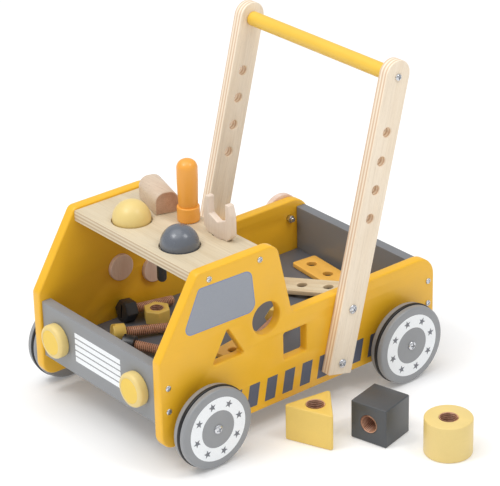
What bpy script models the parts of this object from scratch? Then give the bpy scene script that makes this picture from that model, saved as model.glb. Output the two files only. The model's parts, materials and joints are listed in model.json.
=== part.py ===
"""Wooden push-along baby walker shaped like a small truck, with its tools, bolts and shape blocks.

Units are metres.  +X is the walker's left side, -Y its front and +Z is up.  The set is laid out
about the walker's middle plane, and one empty then moves all of it, so that the origin lies on the
floor in the middle of the whole set's footprint.
"""
import math

import bmesh
import bpy
from mathutils import Vector

# ---------------------------------------------------------------- driving dimensions

GAP = 0.0003                # clearance between pieces that touch
ARC_STEP = math.radians(30)  # largest turn between two points of an arc
WHEEL_SIDES = 28            # flats round a wheel, with one point straight down
ROUND_SIDES = 20            # flats round balls, lamps and large bores
BOLT_SIDES = 12             # flats round bolts, bores and small pegs

# box of the truck
BODY_WIDTH = 0.2418         # over the two side panels
PANEL_T = 0.0135            # side panels, bumper and tail board
PANEL_FRONT = -0.229        # front edge of the side panels
PANEL_REAR = 0.1835         # rear edge of the side panels
PANEL_BOTTOM = 0.029
BED_TOP = 0.139             # top edge of the load bed
CAB_TOP = 0.2315            # top edge of the cab
SCREEN_TOP_Y = -0.1725      # where the windscreen slope meets the cab's top edge
CAB_BACK_TOP_Y = -0.059
CAB_BACK_FOOT_Y = -0.038
EDGE_ROUND = 0.0022         # softened edges of boards
BOARD_ROUND = 0.0012

BUMPER_BOTTOM = 0.0577
BUMPER_TOP = 0.1287
BUMPER_SETBACK = 0.003      # bumper face behind the panels' front edge
TAIL_SETBACK = 0.007        # tail board face in front of the panels' rear edge
FLOOR_TOP = 0.0712
FLOOR_T = 0.008
ROOF_DROP = 0.0025          # roof board below the panels' top edge
ROOF_T = 0.014
ROOF_FRONT = -0.1731
ROOF_REAR = -0.0733

# shape sorter holes in the left panel
CIRCLE_HOLE_D = 0.040
CIRCLE_HOLE_Y, CIRCLE_HOLE_Z = -0.0760, 0.1435
SQUARE_HOLE = 0.0345
SQUARE_HOLE_Y, SQUARE_HOLE_Z = -0.0340, 0.0980
TRIANGLE_HOLE = 0.0460
TRIANGLE_HOLE_Y, TRIANGLE_HOLE_Z = -0.1318, 0.1109   # middle of its lower edge
SORT_CLEARANCE = 0.0020
BLOCK_SCALE = 1.48          # loose blocks against the hole each one is shaped for

# wheels
WHEEL_D = 0.100             # over the tyre
WHEEL_T = 0.019
WHEEL_FLANGE_IN = 0.0012    # wheel rim inside the tyre's tread
TYRE_W = 0.0044
TYRE_DEPTH = 0.0040         # how deep the tyre sits in the rim
SPACER_T = 0.0096
SPACER_R = 0.0070
FRONT_AXLE_Y = -0.1729
REAR_AXLE_Y = 0.1207
BOLT_R = 0.0030
BOLT_HEAD_R = 0.0052
BOLT_HEAD_T = 0.0026

# push handle
UPRIGHT_T = 0.0135
UPRIGHT_W = 0.0355
UPRIGHT_LEAN = math.radians(14.27)
UPRIGHT_FOOT_Y, UPRIGHT_FOOT_Z = 0.0246, 0.0549       # lower bolt
UPRIGHT_TAIL = 0.014        # wood below the lower bolt
UPPER_BOLT_REACH = 0.0672
ADJUST_HOLE_D = 0.0125
BAR_REACH = 0.3448
ADJUST_FIRST = BAR_REACH * 0.51334  # first spare hole, from the lower bolt
ADJUST_PITCH = BAR_REACH * 0.09948
ADJUST_COUNT = 4
BAR_D = 0.0178
BAR_TOP_WOOD = 0.0020       # top arc centre above the bar's axis
BAR_SCREW_R = 0.0020
BAR_SCREW_HEAD_R = 0.0040
BAR_SCREW_DEPTH = 0.018

# lamps
LAMP_D = 0.0410
LAMP_T = 0.0125
LAMP_X = 0.0755
LAMP_Z = 0.0915

# turning pieces on the right panel
GEAR_TEETH = 12
GEAR_T = 0.0080
GEAR_ROOT_DEPTH = 0.0032
GEAR_TIP_HEIGHT = 0.0024
GEAR_FRONT_Y, GEAR_FRONT_Z = -0.1125, 0.1363
GEAR_MIDDLE_Y, GEAR_MIDDLE_Z = -0.0640, 0.1185
HUB_DISC_R = 0.0165
HUB_DISC_T = 0.0050
HUB_PEG_R = 0.0060
SPINNER_R = 0.0270
SPINNER_Y, SPINNER_Z = 0.1515, 0.1160
SPINNER_HEAD_T = 0.0012
NUT_CORNER_R = 0.0050       # small steel nut on the spinner's bolt
NUT_THICK = 0.0045
BOLT_STICKOUT = 0.008       # how far the spinner's bolt reaches past the panel

# things on the roof
BALL_D = 0.045              # over the 44.5 mm small-ball gauge
BALL_Y = -0.1390
BALL_YELLOW_X, BALL_GREY_X = -0.0420, 0.0470
BALL_RISE = 0.0020          # ball centre above the roof
BALL_MARGIN = 0.0012        # recess wall clear of the ball
BALL_SEAT_SHARE = 0.97      # seat bore against the ball's diameter
TOOL_ROW_Y = -0.0905
MALLET_X = -0.0540
MALLET_TURN = math.radians(-17)
MALLET_L = 0.055
MALLET_W = 0.029
MALLET_H = 0.0268
MALLET_TOP_ROUND = 0.012
MALLET_HANDLE_R = 0.00575
MALLET_SOCKET = 0.018        # how far the handle goes up into the head
MALLET_HANDLE_BOTTOM = 0.129
DRIVER_X = 0.0015
DRIVER_R = 0.0122
DRIVER_COLLAR_R = 0.0132
DRIVER_COLLAR_H = 0.018
DRIVER_H = 0.0752
DRIVER_END_ROUND = 0.0100
DRIVER_SOCKET = 0.025       # how far the shaft goes up into the handle
DRIVER_SHAFT_R = 0.0050
DRIVER_BLADE_T = 0.0044
DRIVER_BLADE_L = 0.012
DRIVER_SHAFT_BOTTOM = 0.165
WRENCH_X = 0.0590
WRENCH_T = 0.0086
WRENCH_W = 0.0492
WRENCH_H = 0.0450
WRENCH_JAW = 0.0290
WRENCH_JAW_DEPTH = 0.0210
WRENCH_VALLEY = 0.0060       # extra depth of the V in the middle of the jaw
WRENCH_CHEEK = 0.0080        # height of the sloping lower corners
WRENCH_FOOT = 0.0340
WRENCH_TANG_W = 0.0160
WRENCH_TANG_BOTTOM = 0.165
PASS_CLEARANCE = 0.0007     # tool shank in its roof hole

# building bolts, nut and planks
THREAD_D = 0.0120
HEX_HEAD_ACROSS = THREAD_D + 0.0130
HEX_HEAD_T = 0.0160
SLOT_HEAD_D = 0.0210
SLOT_HEAD_T = 0.0150
SLOT_W = 0.0028
SLOT_DEPTH = 0.0035
SHANK_CHAMFER = 0.0010
SHANK_L = 0.0580
NUT_ACROSS = 0.0290
NUT_H = 0.0170
PLANK_W = 0.0350
PLANK_T = 0.0060
PLANK_PITCH = 0.0340
PLANK_HOLE_D = THREAD_D + 0.0006
PANEL_BESIDE = 0.0006       # the black bolt's head, from the right side panel
NUT_BESIDE = 0.017628       # the nut's middle, from the side of the black bolt's shank
PLANK_LEAN_REACH = 0.0790   # from the leaning plank's low end to where it meets the plank below

# where the loose blocks stand
CUBE_X, CUBE_Y, CUBE_TURN = 0.2140, 0.0121, math.radians(14)
CYLINDER_X, CYLINDER_Y = 0.2926, 0.0441
TRIANGLE_X, TRIANGLE_Y, TRIANGLE_TURN = 0.1714, -0.0485, math.radians(-8)
BLOCK_ROUND = 0.0015
ROUND_BLOCK_DEPTH = 0.0300  # height of the round and triangular blocks before scaling

# ---------------------------------------------------------------- worked-out places

PANEL_OUT = BODY_WIDTH / 2
PANEL_IN = PANEL_OUT - PANEL_T
ROOF_TOP = CAB_TOP - ROOF_DROP
BALL_SEAT_R = BALL_SEAT_SHARE * BALL_D / 2
BALL_RECESS_R = BALL_D / 2 + BALL_MARGIN
CUT_IN = PANEL_IN - PANEL_T         # where cutters for the panels start and end
CUT_OUT = PANEL_OUT + PANEL_T
BOARD_HALF = PANEL_IN - GAP
BUMPER_FACE = PANEL_FRONT + BUMPER_SETBACK
TAIL_FACE = PANEL_REAR - TAIL_SETBACK
WHEEL_R = WHEEL_D / 2
SPACER_IN = PANEL_OUT + GAP
WHEEL_IN = SPACER_IN + SPACER_T + GAP
WHEEL_MID = WHEEL_IN + WHEEL_T / 2
WHEEL_OUT = WHEEL_IN + WHEEL_T
UPRIGHT_IN = PANEL_OUT + GAP
UPRIGHT_OUT = UPRIGHT_IN + UPRIGHT_T
ROOF_SEAT = ROOF_TOP + GAP
FLOOR_SEAT = FLOOR_TOP + GAP
CYLINDER_BLOCK_R = (CIRCLE_HOLE_D - SORT_CLEARANCE) / 2 * BLOCK_SCALE
BLOCK_HOLE_R = THREAD_D / 2 * BLOCK_SCALE + GAP

SET_RIGHT = -(WHEEL_OUT + GAP + BOLT_HEAD_T)
SET_LEFT = CYLINDER_X + CYLINDER_BLOCK_R
SET_FRONT = BUMPER_FACE - GAP - LAMP_T
SET_MIDDLE = Vector(((SET_RIGHT + SET_LEFT) / 2, (SET_FRONT + PANEL_REAR) / 2, 0))

# ---------------------------------------------------------------- finishes


def finish(name, colour, roughness, metallic=0.0):
    """Return a Principled material of one colour."""
    material = bpy.data.materials.new(name)
    material.use_nodes = True
    shader = material.node_tree.nodes["Principled BSDF"]
    shader.inputs["Base Color"].default_value = (*colour, 1.0)
    shader.inputs["Roughness"].default_value = roughness
    shader.inputs["Metallic"].default_value = metallic
    return material


# ---------------------------------------------------------------- shape helpers


def rounded(corners):
    """Return the outline of a polygon whose corners (x, y, radius) are turned into arcs."""
    points = []
    for index, (x, y, radius) in enumerate(corners):
        here = Vector((x, y))
        if radius == 0:
            points.append(here)
            continue
        back = (Vector(corners[index - 1][:2]) - here).normalized()
        ahead = (Vector(corners[(index + 1) % len(corners)][:2]) - here).normalized()
        half = back.angle(ahead) / 2
        centre = here + (back + ahead).normalized() * radius / math.sin(half)
        start = here + back * radius / math.tan(half) - centre
        end = here + ahead * radius / math.tan(half) - centre
        first = math.atan2(start.y, start.x)
        sweep = (math.atan2(end.y, end.x) - first + math.pi) % math.tau - math.pi
        steps = max(1, math.ceil(abs(sweep) / ARC_STEP))
        for step in range(steps + 1):
            angle = first + sweep * step / steps
            points.append(centre + radius * Vector((math.cos(angle), math.sin(angle))))
    return points


def rectangle(low_x, low_y, high_x, high_y, radius=0.0):
    """Return a rectangle's outline with equal corner radii."""
    return rounded([(low_x, low_y, radius), (high_x, low_y, radius),
                    (high_x, high_y, radius), (low_x, high_y, radius)])


def ring(radius, count, centre=(0.0, 0.0), turn=0.0):
    """Return the points of a regular polygon, such as a circle or a hexagon."""
    angles = [turn + math.tau * step / count for step in range(count)]
    return [Vector((centre[0] + radius * math.cos(a), centre[1] + radius * math.sin(a))) for a in angles]


def along(axis, across, up, depth):
    """Return the 3-D point of a 2-D outline point at a depth along an axis."""
    return {"X": (depth, across, up), "Y": (across, depth, up), "Z": (across, up, depth)}[axis]


def add_slab(bm, outline, low, high, axis):
    """Add a prism: a 2-D outline carried from low to high along an axis."""
    near = [bm.verts.new(along(axis, x, y, low)) for x, y in outline]
    far = [bm.verts.new(along(axis, x, y, high)) for x, y in outline]
    bm.faces.new(near)
    bm.faces.new(far)
    for index in range(len(near)):
        bm.faces.new((near[index - 1], near[index], far[index], far[index - 1]))


def add_turned(bm, profile, count, axis, centre=(0.0, 0.0, 0.0)):
    """Add a turned shape: (radius, depth) points spun about an axis, closed at its ends or bore."""
    middle = Vector(centre)
    loops = []
    for radius, depth in profile:
        if radius == 0:
            loops.append([bm.verts.new(middle + Vector(along(axis, 0.0, 0.0, depth)))] * count)
        else:
            loops.append([bm.verts.new(middle + Vector(along(axis, *point, depth)))
                          for point in ring(radius, count)])
    pairs = list(zip(loops, loops[1:]))
    if profile[0][0] > 0:
        pairs.append((loops[-1], loops[0]))
    for lower, upper in pairs:
        for index in range(count):
            corners = (lower[index - 1], lower[index], upper[index], upper[index - 1])
            bm.faces.new(list(dict.fromkeys(corners)))


def arc_profile(centre_r, centre_d, radius, first, last, steps):
    """Return (radius, depth) points of an arc, for a turned shape's rounded edge."""
    angles = [math.radians(first + (last - first) * step / steps) for step in range(steps + 1)]
    return [(max(0.0, centre_r + radius * math.cos(a)), centre_d + radius * math.sin(a)) for a in angles]


def make(name, bm, material, place=(0.0, 0.0, 0.0), turn=(0.0, 0.0, 0.0)):
    """Turn a bmesh into a named object under the set's empty."""
    bmesh.ops.recalc_face_normals(bm, faces=bm.faces)
    mesh = bpy.data.meshes.new(name)
    bm.to_mesh(mesh)
    bm.free()
    mesh.materials.append(material)
    mesh.shade_smooth()
    mesh.set_sharp_from_angle(angle=math.radians(30))
    part = bpy.data.objects.new(name, mesh)
    part.location = place
    part.rotation_euler = turn
    part.parent = set_frame
    bpy.context.collection.objects.link(part)
    return part


def soften(part, width, segments=1):
    """Round a part's sharp edges."""
    bevel = part.modifiers.new("soft_edges", "BEVEL")
    bevel.width = width
    bevel.segments = segments
    bevel.limit_method = "ANGLE"
    bevel.angle_limit = math.radians(50)
    bevel.use_clamp_overlap = False


def cut(part, bm):
    """Cut the shapes in a bmesh, given in the part's own axes, out of the part."""
    tool = make(part.name + "_cutter", bm, part.data.materials[0], part.location, part.rotation_euler)
    tool.hide_render = True
    tool.display_type = "WIRE"
    boolean = part.modifiers.new("holes", "BOOLEAN")
    boolean.operation = "DIFFERENCE"
    boolean.solver = "EXACT"
    boolean.object = tool


def upright_point(reach):
    """Return the (y, z) of a point on an upright's centre line, measured from its lower bolt."""
    return (UPRIGHT_FOOT_Y + reach * math.sin(UPRIGHT_LEAN), UPRIGHT_FOOT_Z + reach * math.cos(UPRIGHT_LEAN))


# ---------------------------------------------------------------- box of the truck


def panel_outline():
    """Return a side panel's outline in (y, z): cab in front, lower load bed behind."""
    return rounded([
        (PANEL_FRONT, PANEL_BOTTOM, 0.018),
        (PANEL_REAR, PANEL_BOTTOM, 0.008),
        (PANEL_REAR, BED_TOP, 0.026),
        (CAB_BACK_FOOT_Y, BED_TOP, 0.007),
        (CAB_BACK_TOP_Y, CAB_TOP, 0.017),
        (SCREEN_TOP_Y, CAB_TOP, 0.009),
        (PANEL_FRONT, BED_TOP, 0.009),
    ])


def add_fastener_holes(bm, side):
    """Add the bores for one side's wheel bolts and upright bolts to a cutter."""
    places = [(FRONT_AXLE_Y, WHEEL_R), (REAR_AXLE_Y, WHEEL_R)]
    places += [upright_point(0.0), upright_point(UPPER_BOLT_REACH)]
    for y, z in places:
        add_slab(bm, ring(BOLT_R + GAP, BOLT_SIDES, (y, z)), side * CUT_IN, side * CUT_OUT, "X")


def build_side_panels():
    """Build the two yellow side panels, with sorter holes on the left and hub holes on the right."""
    for name, side in (("side_panel_left", 1), ("side_panel_right", -1)):
        bm = bmesh.new()
        add_slab(bm, panel_outline(), side * PANEL_IN, side * PANEL_OUT, "X")
        panel = make(name, bm, yellow_paint)
        soften(panel, EDGE_ROUND)
        tool = bmesh.new()
        add_fastener_holes(tool, side)
        low, high = side * CUT_IN, side * CUT_OUT
        if side > 0:
            add_slab(tool, ring(CIRCLE_HOLE_D / 2, WHEEL_SIDES, (CIRCLE_HOLE_Y, CIRCLE_HOLE_Z)),
                     low, high, "X")
            half = SQUARE_HOLE / 2
            add_slab(tool, rectangle(SQUARE_HOLE_Y - half, SQUARE_HOLE_Z - half, SQUARE_HOLE_Y + half,
                                     SQUARE_HOLE_Z + half, 0.0025), low, high, "X")
            height = TRIANGLE_HOLE * math.sin(math.radians(60))
            add_slab(tool, rounded([(TRIANGLE_HOLE_Y - TRIANGLE_HOLE / 2, TRIANGLE_HOLE_Z, 0.0025),
                                    (TRIANGLE_HOLE_Y + TRIANGLE_HOLE / 2, TRIANGLE_HOLE_Z, 0.0025),
                                    (TRIANGLE_HOLE_Y, TRIANGLE_HOLE_Z + height, 0.0025)]), low, high, "X")
        else:
            for y, z in ((GEAR_FRONT_Y, GEAR_FRONT_Z), (GEAR_MIDDLE_Y, GEAR_MIDDLE_Z)):
                add_slab(tool, ring(HUB_PEG_R + GAP, BOLT_SIDES, (y, z)), low, high, "X")
            add_slab(tool, ring(BOLT_R + GAP, BOLT_SIDES, (SPINNER_Y, SPINNER_Z)), low, high, "X")
        cut(panel, tool)


def build_boards():
    """Build the cross boards that tie the side panels together."""
    boards = (
        ("front_bumper", grey_paint, BUMPER_FACE, BUMPER_FACE + PANEL_T, BUMPER_BOTTOM, BUMPER_TOP),
        ("tail_board", grey_paint, TAIL_FACE - PANEL_T, TAIL_FACE, BUMPER_BOTTOM, BUMPER_TOP),
        ("floor_board", grey_paint, BUMPER_FACE + PANEL_T + GAP, TAIL_FACE - PANEL_T - GAP,
         FLOOR_TOP - FLOOR_T, FLOOR_TOP),
        ("roof_board", birch, ROOF_FRONT, ROOF_REAR, ROOF_TOP - ROOF_T, ROOF_TOP),
    )
    for name, material, front, rear, bottom, top in boards:
        bm = bmesh.new()
        add_slab(bm, rectangle(front, bottom, rear, top), -BOARD_HALF, BOARD_HALF, "X")
        board = make(name, bm, material)
        soften(board, BOARD_ROUND)
        if name == "roof_board":
            cut(board, roof_holes())


def roof_holes():
    """Return the cutter for the roof: two stepped ball seats, two round tool holes and a slot."""
    bm = bmesh.new()
    rise = math.sqrt((BALL_D / 2) ** 2 - BALL_SEAT_R ** 2)
    ledge = ROOF_TOP + BALL_RISE - rise - GAP
    for x in (BALL_YELLOW_X, BALL_GREY_X):
        profile = [(0.0, ROOF_TOP - 2 * ROOF_T), (BALL_SEAT_R, ROOF_TOP - 2 * ROOF_T), (BALL_SEAT_R, ledge),
                   (BALL_RECESS_R, ledge), (BALL_RECESS_R, ROOF_TOP + ROOF_T), (0.0, ROOF_TOP + ROOF_T)]
        add_turned(bm, profile, ROUND_SIDES, "Z", (x, BALL_Y, 0.0))
    low, high = ROOF_TOP - 2 * ROOF_T, ROOF_TOP + ROOF_T
    for x, radius in ((MALLET_X, MALLET_HANDLE_R), (DRIVER_X, DRIVER_SHAFT_R)):
        add_slab(bm, ring(radius + PASS_CLEARANCE, BOLT_SIDES, (x, TOOL_ROW_Y)), low, high, "Z")
    half_w = WRENCH_TANG_W / 2 + PASS_CLEARANCE
    half_t = WRENCH_T / 2 + PASS_CLEARANCE
    add_slab(bm, rectangle(WRENCH_X - half_w, TOOL_ROW_Y - half_t, WRENCH_X + half_w, TOOL_ROW_Y + half_t),
             low, high, "Z")
    return bm


def build_lamps():
    """Build the two thick round lamps on the bumper, with a full round on their front edge."""
    edge = 0.0035
    for name, side in (("headlight_left", 1), ("headlight_right", -1)):
        radius = LAMP_D / 2
        bm = bmesh.new()
        profile = [(0.0, 0.0), (radius - edge / 2, 0.0), (radius, -edge / 2)]
        profile += [(r, -d) for r, d in arc_profile(radius - edge, LAMP_T - edge, edge, 0, 90, 3)]
        profile += [(0.0, -LAMP_T)]
        add_turned(bm, profile, ROUND_SIDES, "Y")
        make(name, bm, cream_paint, (side * LAMP_X, BUMPER_FACE - GAP, LAMP_Z))


# ---------------------------------------------------------------- wheels


def build_wheel(corner, side, axle_y):
    """Build one wheel with its rubber ring, spacer and bolt, all centred on the axle line."""
    rim = WHEEL_R - WHEEL_FLANGE_IN
    half = WHEEL_T / 2
    groove = TYRE_W / 2 + GAP
    bottom = rim - TYRE_DEPTH
    bore = BOLT_R + GAP
    edge = 0.0022
    place = (side * WHEEL_MID, axle_y, WHEEL_R)

    bm = bmesh.new()
    add_turned(bm, [(bore, -half), (rim - edge, -half), (rim, edge - half), (rim, -groove), (bottom, -groove),
                    (bottom, groove), (rim, groove), (rim, half - edge), (rim - edge, half), (bore, half)],
               WHEEL_SIDES, "X")
    make("wheel_" + corner, bm, wheel_paint, place)

    bm = bmesh.new()
    width = TYRE_W / 2
    shoulder = WHEEL_FLANGE_IN * 1.4
    add_turned(bm, [(bottom + GAP, -width), (WHEEL_R - shoulder, -width), (WHEEL_R, -width / 2),
                    (WHEEL_R, width / 2), (WHEEL_R - shoulder, width), (bottom + GAP, width)],
               WHEEL_SIDES, "X")
    make("tyre_" + corner, bm, rubber, place)

    bm = bmesh.new()
    add_turned(bm, [(bore, SPACER_IN), (SPACER_R, SPACER_IN), (SPACER_R, SPACER_IN + SPACER_T),
                    (bore, SPACER_IN + SPACER_T)], BOLT_SIDES, "X")
    spacer = make("wheel_spacer_" + corner, bm, grey_plastic, (0.0, axle_y, WHEEL_R))
    bm = bmesh.new()
    add_turned(bm, pan_bolt(WHEEL_OUT + GAP, PANEL_IN, BOLT_R, BOLT_HEAD_R, BOLT_HEAD_T), BOLT_SIDES, "X")
    bolt = make("wheel_bolt_" + corner, bm, zinc, (0.0, axle_y, WHEEL_R))
    if side < 0:
        spacer.rotation_euler.z = math.pi
        bolt.rotation_euler.z = math.pi


def pan_bolt(seat, tip, shank_r, head_r, head_t):
    """Return a pan-head bolt's profile, its head outside the seat and its shank inwards to the tip."""
    return [(0.0, seat + head_t), (head_r * 0.6, seat + head_t), (head_r * 0.95, seat + head_t * 0.5),
            (head_r, seat), (shank_r, seat), (shank_r, tip), (0.0, tip)]


def build_wheels():
    """Build the four wheels."""
    for axle, y in (("front", FRONT_AXLE_Y), ("rear", REAR_AXLE_Y)):
        for hand, side in (("left", 1), ("right", -1)):
            build_wheel(f"{axle}_{hand}", side, y)


# ---------------------------------------------------------------- push handle


def build_handle():
    """Build the two leaning uprights, the bar between them and all their screws."""
    half = UPRIGHT_W / 2
    top = BAR_REACH + BAR_TOP_WOOD + half
    lean = (-UPRIGHT_LEAN, 0.0, 0.0)
    foot = (0.0, UPRIGHT_FOOT_Y, UPRIGHT_FOOT_Z)
    bar_y, bar_z = upright_point(BAR_REACH)
    for hand, side in (("left", 1), ("right", -1)):
        low, high = side * UPRIGHT_IN, side * UPRIGHT_OUT
        bm = bmesh.new()
        add_slab(bm, rounded([(-half, -UPRIGHT_TAIL, 0.0015), (half, -UPRIGHT_TAIL, 0.0015),
                              (half, top, half * 0.98), (-half, top, half * 0.98)]), low, high, "X")
        upright = make("upright_" + hand, bm, birch, foot, lean)
        soften(upright, BOARD_ROUND)
        tool = bmesh.new()
        bores = [(ADJUST_FIRST + step * ADJUST_PITCH, ADJUST_HOLE_D / 2) for step in range(ADJUST_COUNT)]
        bores += [(0.0, BOLT_R + GAP), (UPPER_BOLT_REACH, BOLT_R + GAP), (BAR_REACH, BAR_SCREW_R + GAP)]
        for reach, radius in bores:
            add_slab(tool, ring(radius, BOLT_SIDES, (0.0, reach)), 0.0, 2 * high, "X")
        cut(upright, tool)

        turn = (0.0, 0.0, 0.0 if side > 0 else math.pi)
        for level, reach in (("lower", 0.0), ("upper", UPPER_BOLT_REACH)):
            bm = bmesh.new()
            add_turned(bm, pan_bolt(UPRIGHT_OUT + GAP, PANEL_IN, BOLT_R, BOLT_HEAD_R, BOLT_HEAD_T),
                       BOLT_SIDES, "X")
            make(f"upright_bolt_{hand}_{level}", bm, zinc, (0.0, *upright_point(reach)), turn)
        bm = bmesh.new()
        tip = UPRIGHT_IN - BAR_SCREW_DEPTH
        add_turned(bm, pan_bolt(UPRIGHT_OUT + GAP, tip, BAR_SCREW_R, BAR_SCREW_HEAD_R, BOLT_HEAD_T),
                   BOLT_SIDES, "X")
        make("handle_screw_" + hand, bm, zinc, (0.0, bar_y, bar_z), turn)

    end = UPRIGHT_IN - GAP
    bottom = UPRIGHT_IN - BAR_SCREW_DEPTH - GAP
    bore = BAR_SCREW_R + GAP
    edge = 0.0006
    bm = bmesh.new()
    add_turned(bm, [(0.0, -bottom), (bore, -bottom), (bore, -end), (BAR_D / 2 - edge, -end),
                    (BAR_D / 2, edge - end), (BAR_D / 2, end - edge), (BAR_D / 2 - edge, end), (bore, end),
                    (bore, bottom), (0.0, bottom)], ROUND_SIDES, "X")
    make("handle_bar", bm, yellow_paint, (0.0, bar_y, bar_z))


# ---------------------------------------------------------------- turning pieces on the right panel


def gear_outline(pitch_r, turn):
    """Return a spur gear's outline: GEAR_TEETH flat-topped teeth with backlash on their flanks."""
    tooth = math.tau / GEAR_TEETH
    root = pitch_r - GEAR_ROOT_DEPTH
    tip = pitch_r + GEAR_TIP_HEIGHT
    shares = ((root, -0.30), (pitch_r, -0.22), (tip, -0.10), (tip, 0.10), (pitch_r, 0.22), (root, 0.30))
    outline = []
    for index in range(GEAR_TEETH):
        for radius, share in shares:
            angle = turn + (index + share) * tooth
            outline.append(Vector((radius * math.cos(angle), radius * math.sin(angle))))
    return outline


def build_gear(name, material, pitch_r, turn, y, z):
    """Build one gear outside the right panel and its wooden hub, which passes through to the inside."""
    outer = -(PANEL_OUT + GAP)
    bm = bmesh.new()
    add_slab(bm, gear_outline(pitch_r, turn), outer - GEAR_T, outer, "X")
    gear = make("gear_" + name, bm, material, (0.0, y, z))
    tool = bmesh.new()
    add_slab(tool, ring(HUB_PEG_R + GAP, BOLT_SIDES), outer - 2 * GEAR_T, outer + GEAR_T, "X")
    cut(gear, tool)

    inner = -(PANEL_IN - GAP)
    edge = 0.0012
    bm = bmesh.new()
    add_turned(bm, [(0.0, inner + HUB_DISC_T), (HUB_DISC_R - edge, inner + HUB_DISC_T),
                    (HUB_DISC_R, inner + HUB_DISC_T - edge), (HUB_DISC_R, inner), (HUB_PEG_R, inner),
                    (HUB_PEG_R, outer - GEAR_T), (HUB_PEG_R - edge, outer - GEAR_T - edge),
                    (0.0, outer - GEAR_T - edge)], 2 * BOLT_SIDES, "X")
    make("gear_hub_" + name, bm, beech, (0.0, y, z))


def build_turning_pieces():
    """Build the two meshed gears and the round spinner with its bolt and nut."""
    apart = Vector((GEAR_MIDDLE_Y - GEAR_FRONT_Y, GEAR_MIDDLE_Z - GEAR_FRONT_Z))
    pitch_r = apart.length / 2
    towards = math.atan2(apart.y, apart.x)
    tooth = math.tau / GEAR_TEETH
    build_gear("front", yellow_paint, pitch_r, towards, GEAR_FRONT_Y, GEAR_FRONT_Z)
    build_gear("middle", grey_paint, pitch_r, towards + math.pi + tooth / 2, GEAR_MIDDLE_Y, GEAR_MIDDLE_Z)

    inside = -(PANEL_OUT + GAP)
    outside = inside - GEAR_T
    edge = 0.0015
    bore = BOLT_R + GAP
    bm = bmesh.new()
    add_turned(bm, [(bore, inside), (SPINNER_R - edge, inside), (SPINNER_R, inside - edge),
                    (SPINNER_R, outside + edge), (SPINNER_R - edge, outside), (bore, outside)],
               WHEEL_SIDES, "X")
    make("spinner_disc", bm, birch, (0.0, SPINNER_Y, SPINNER_Z))
    bm = bmesh.new()
    add_turned(bm, pan_bolt(-outside + GAP, PANEL_IN - BOLT_STICKOUT, BOLT_R, BOLT_HEAD_R, SPINNER_HEAD_T),
               BOLT_SIDES, "X")
    make("spinner_bolt", bm, zinc, (0.0, SPINNER_Y, SPINNER_Z), (0.0, 0.0, math.pi))
    nut_face = -(PANEL_IN - GAP)
    bm = bmesh.new()
    add_slab(bm, ring(NUT_CORNER_R, 6), nut_face, nut_face + NUT_THICK, "X")
    nut = make("spinner_nut", bm, zinc, (0.0, SPINNER_Y, SPINNER_Z))
    tool = bmesh.new()
    add_slab(tool, ring(bore, BOLT_SIDES), nut_face - NUT_THICK, nut_face + 2 * NUT_THICK, "X")
    cut(nut, tool)


# ---------------------------------------------------------------- things on the roof


def build_balls():
    """Build the two balls that rest on the ledges of the roof's holes."""
    radius = BALL_D / 2
    balls = (("ball_yellow", cream_paint, BALL_YELLOW_X), ("ball_grey", dark_paint, BALL_GREY_X))
    for name, material, x in balls:
        bm = bmesh.new()
        add_turned(bm, arc_profile(0.0, 0.0, radius, -90, 90, ROUND_SIDES // 2), ROUND_SIDES, "Z")
        make(name, bm, material, (x, BALL_Y, ROOF_TOP + BALL_RISE))


def build_mallet():
    """Build the mallet, which stands on the roof with its handle down through a hole."""
    half_w, half_l = MALLET_W / 2, MALLET_L / 2
    bm = bmesh.new()
    add_slab(bm, rounded([(-half_w, 0.0, 0.002), (half_w, 0.0, 0.002), (half_w, MALLET_H, MALLET_TOP_ROUND),
                          (-half_w, MALLET_H, MALLET_TOP_ROUND)]), -half_l, half_l, "X")
    place = (MALLET_X, TOOL_ROW_Y, ROOF_SEAT)
    head = make("mallet_head", bm, beech, place, (0.0, 0.0, MALLET_TURN))
    soften(head, 0.002)
    tool = bmesh.new()
    add_slab(tool, ring(MALLET_HANDLE_R + GAP, BOLT_SIDES), -MALLET_SOCKET, MALLET_SOCKET, "Z")
    cut(head, tool)

    top = MALLET_SOCKET - GAP
    bottom = MALLET_HANDLE_BOTTOM - ROOF_SEAT
    bm = bmesh.new()
    profile = [(0.0, top), (MALLET_HANDLE_R, top)]
    profile += [(r, bottom + MALLET_HANDLE_R + d)
                for r, d in arc_profile(0.0, 0.0, MALLET_HANDLE_R, 0, -90, 3)]
    add_turned(bm, profile, BOLT_SIDES, "Z")
    make("mallet_handle", bm, dark_paint, place)


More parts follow.
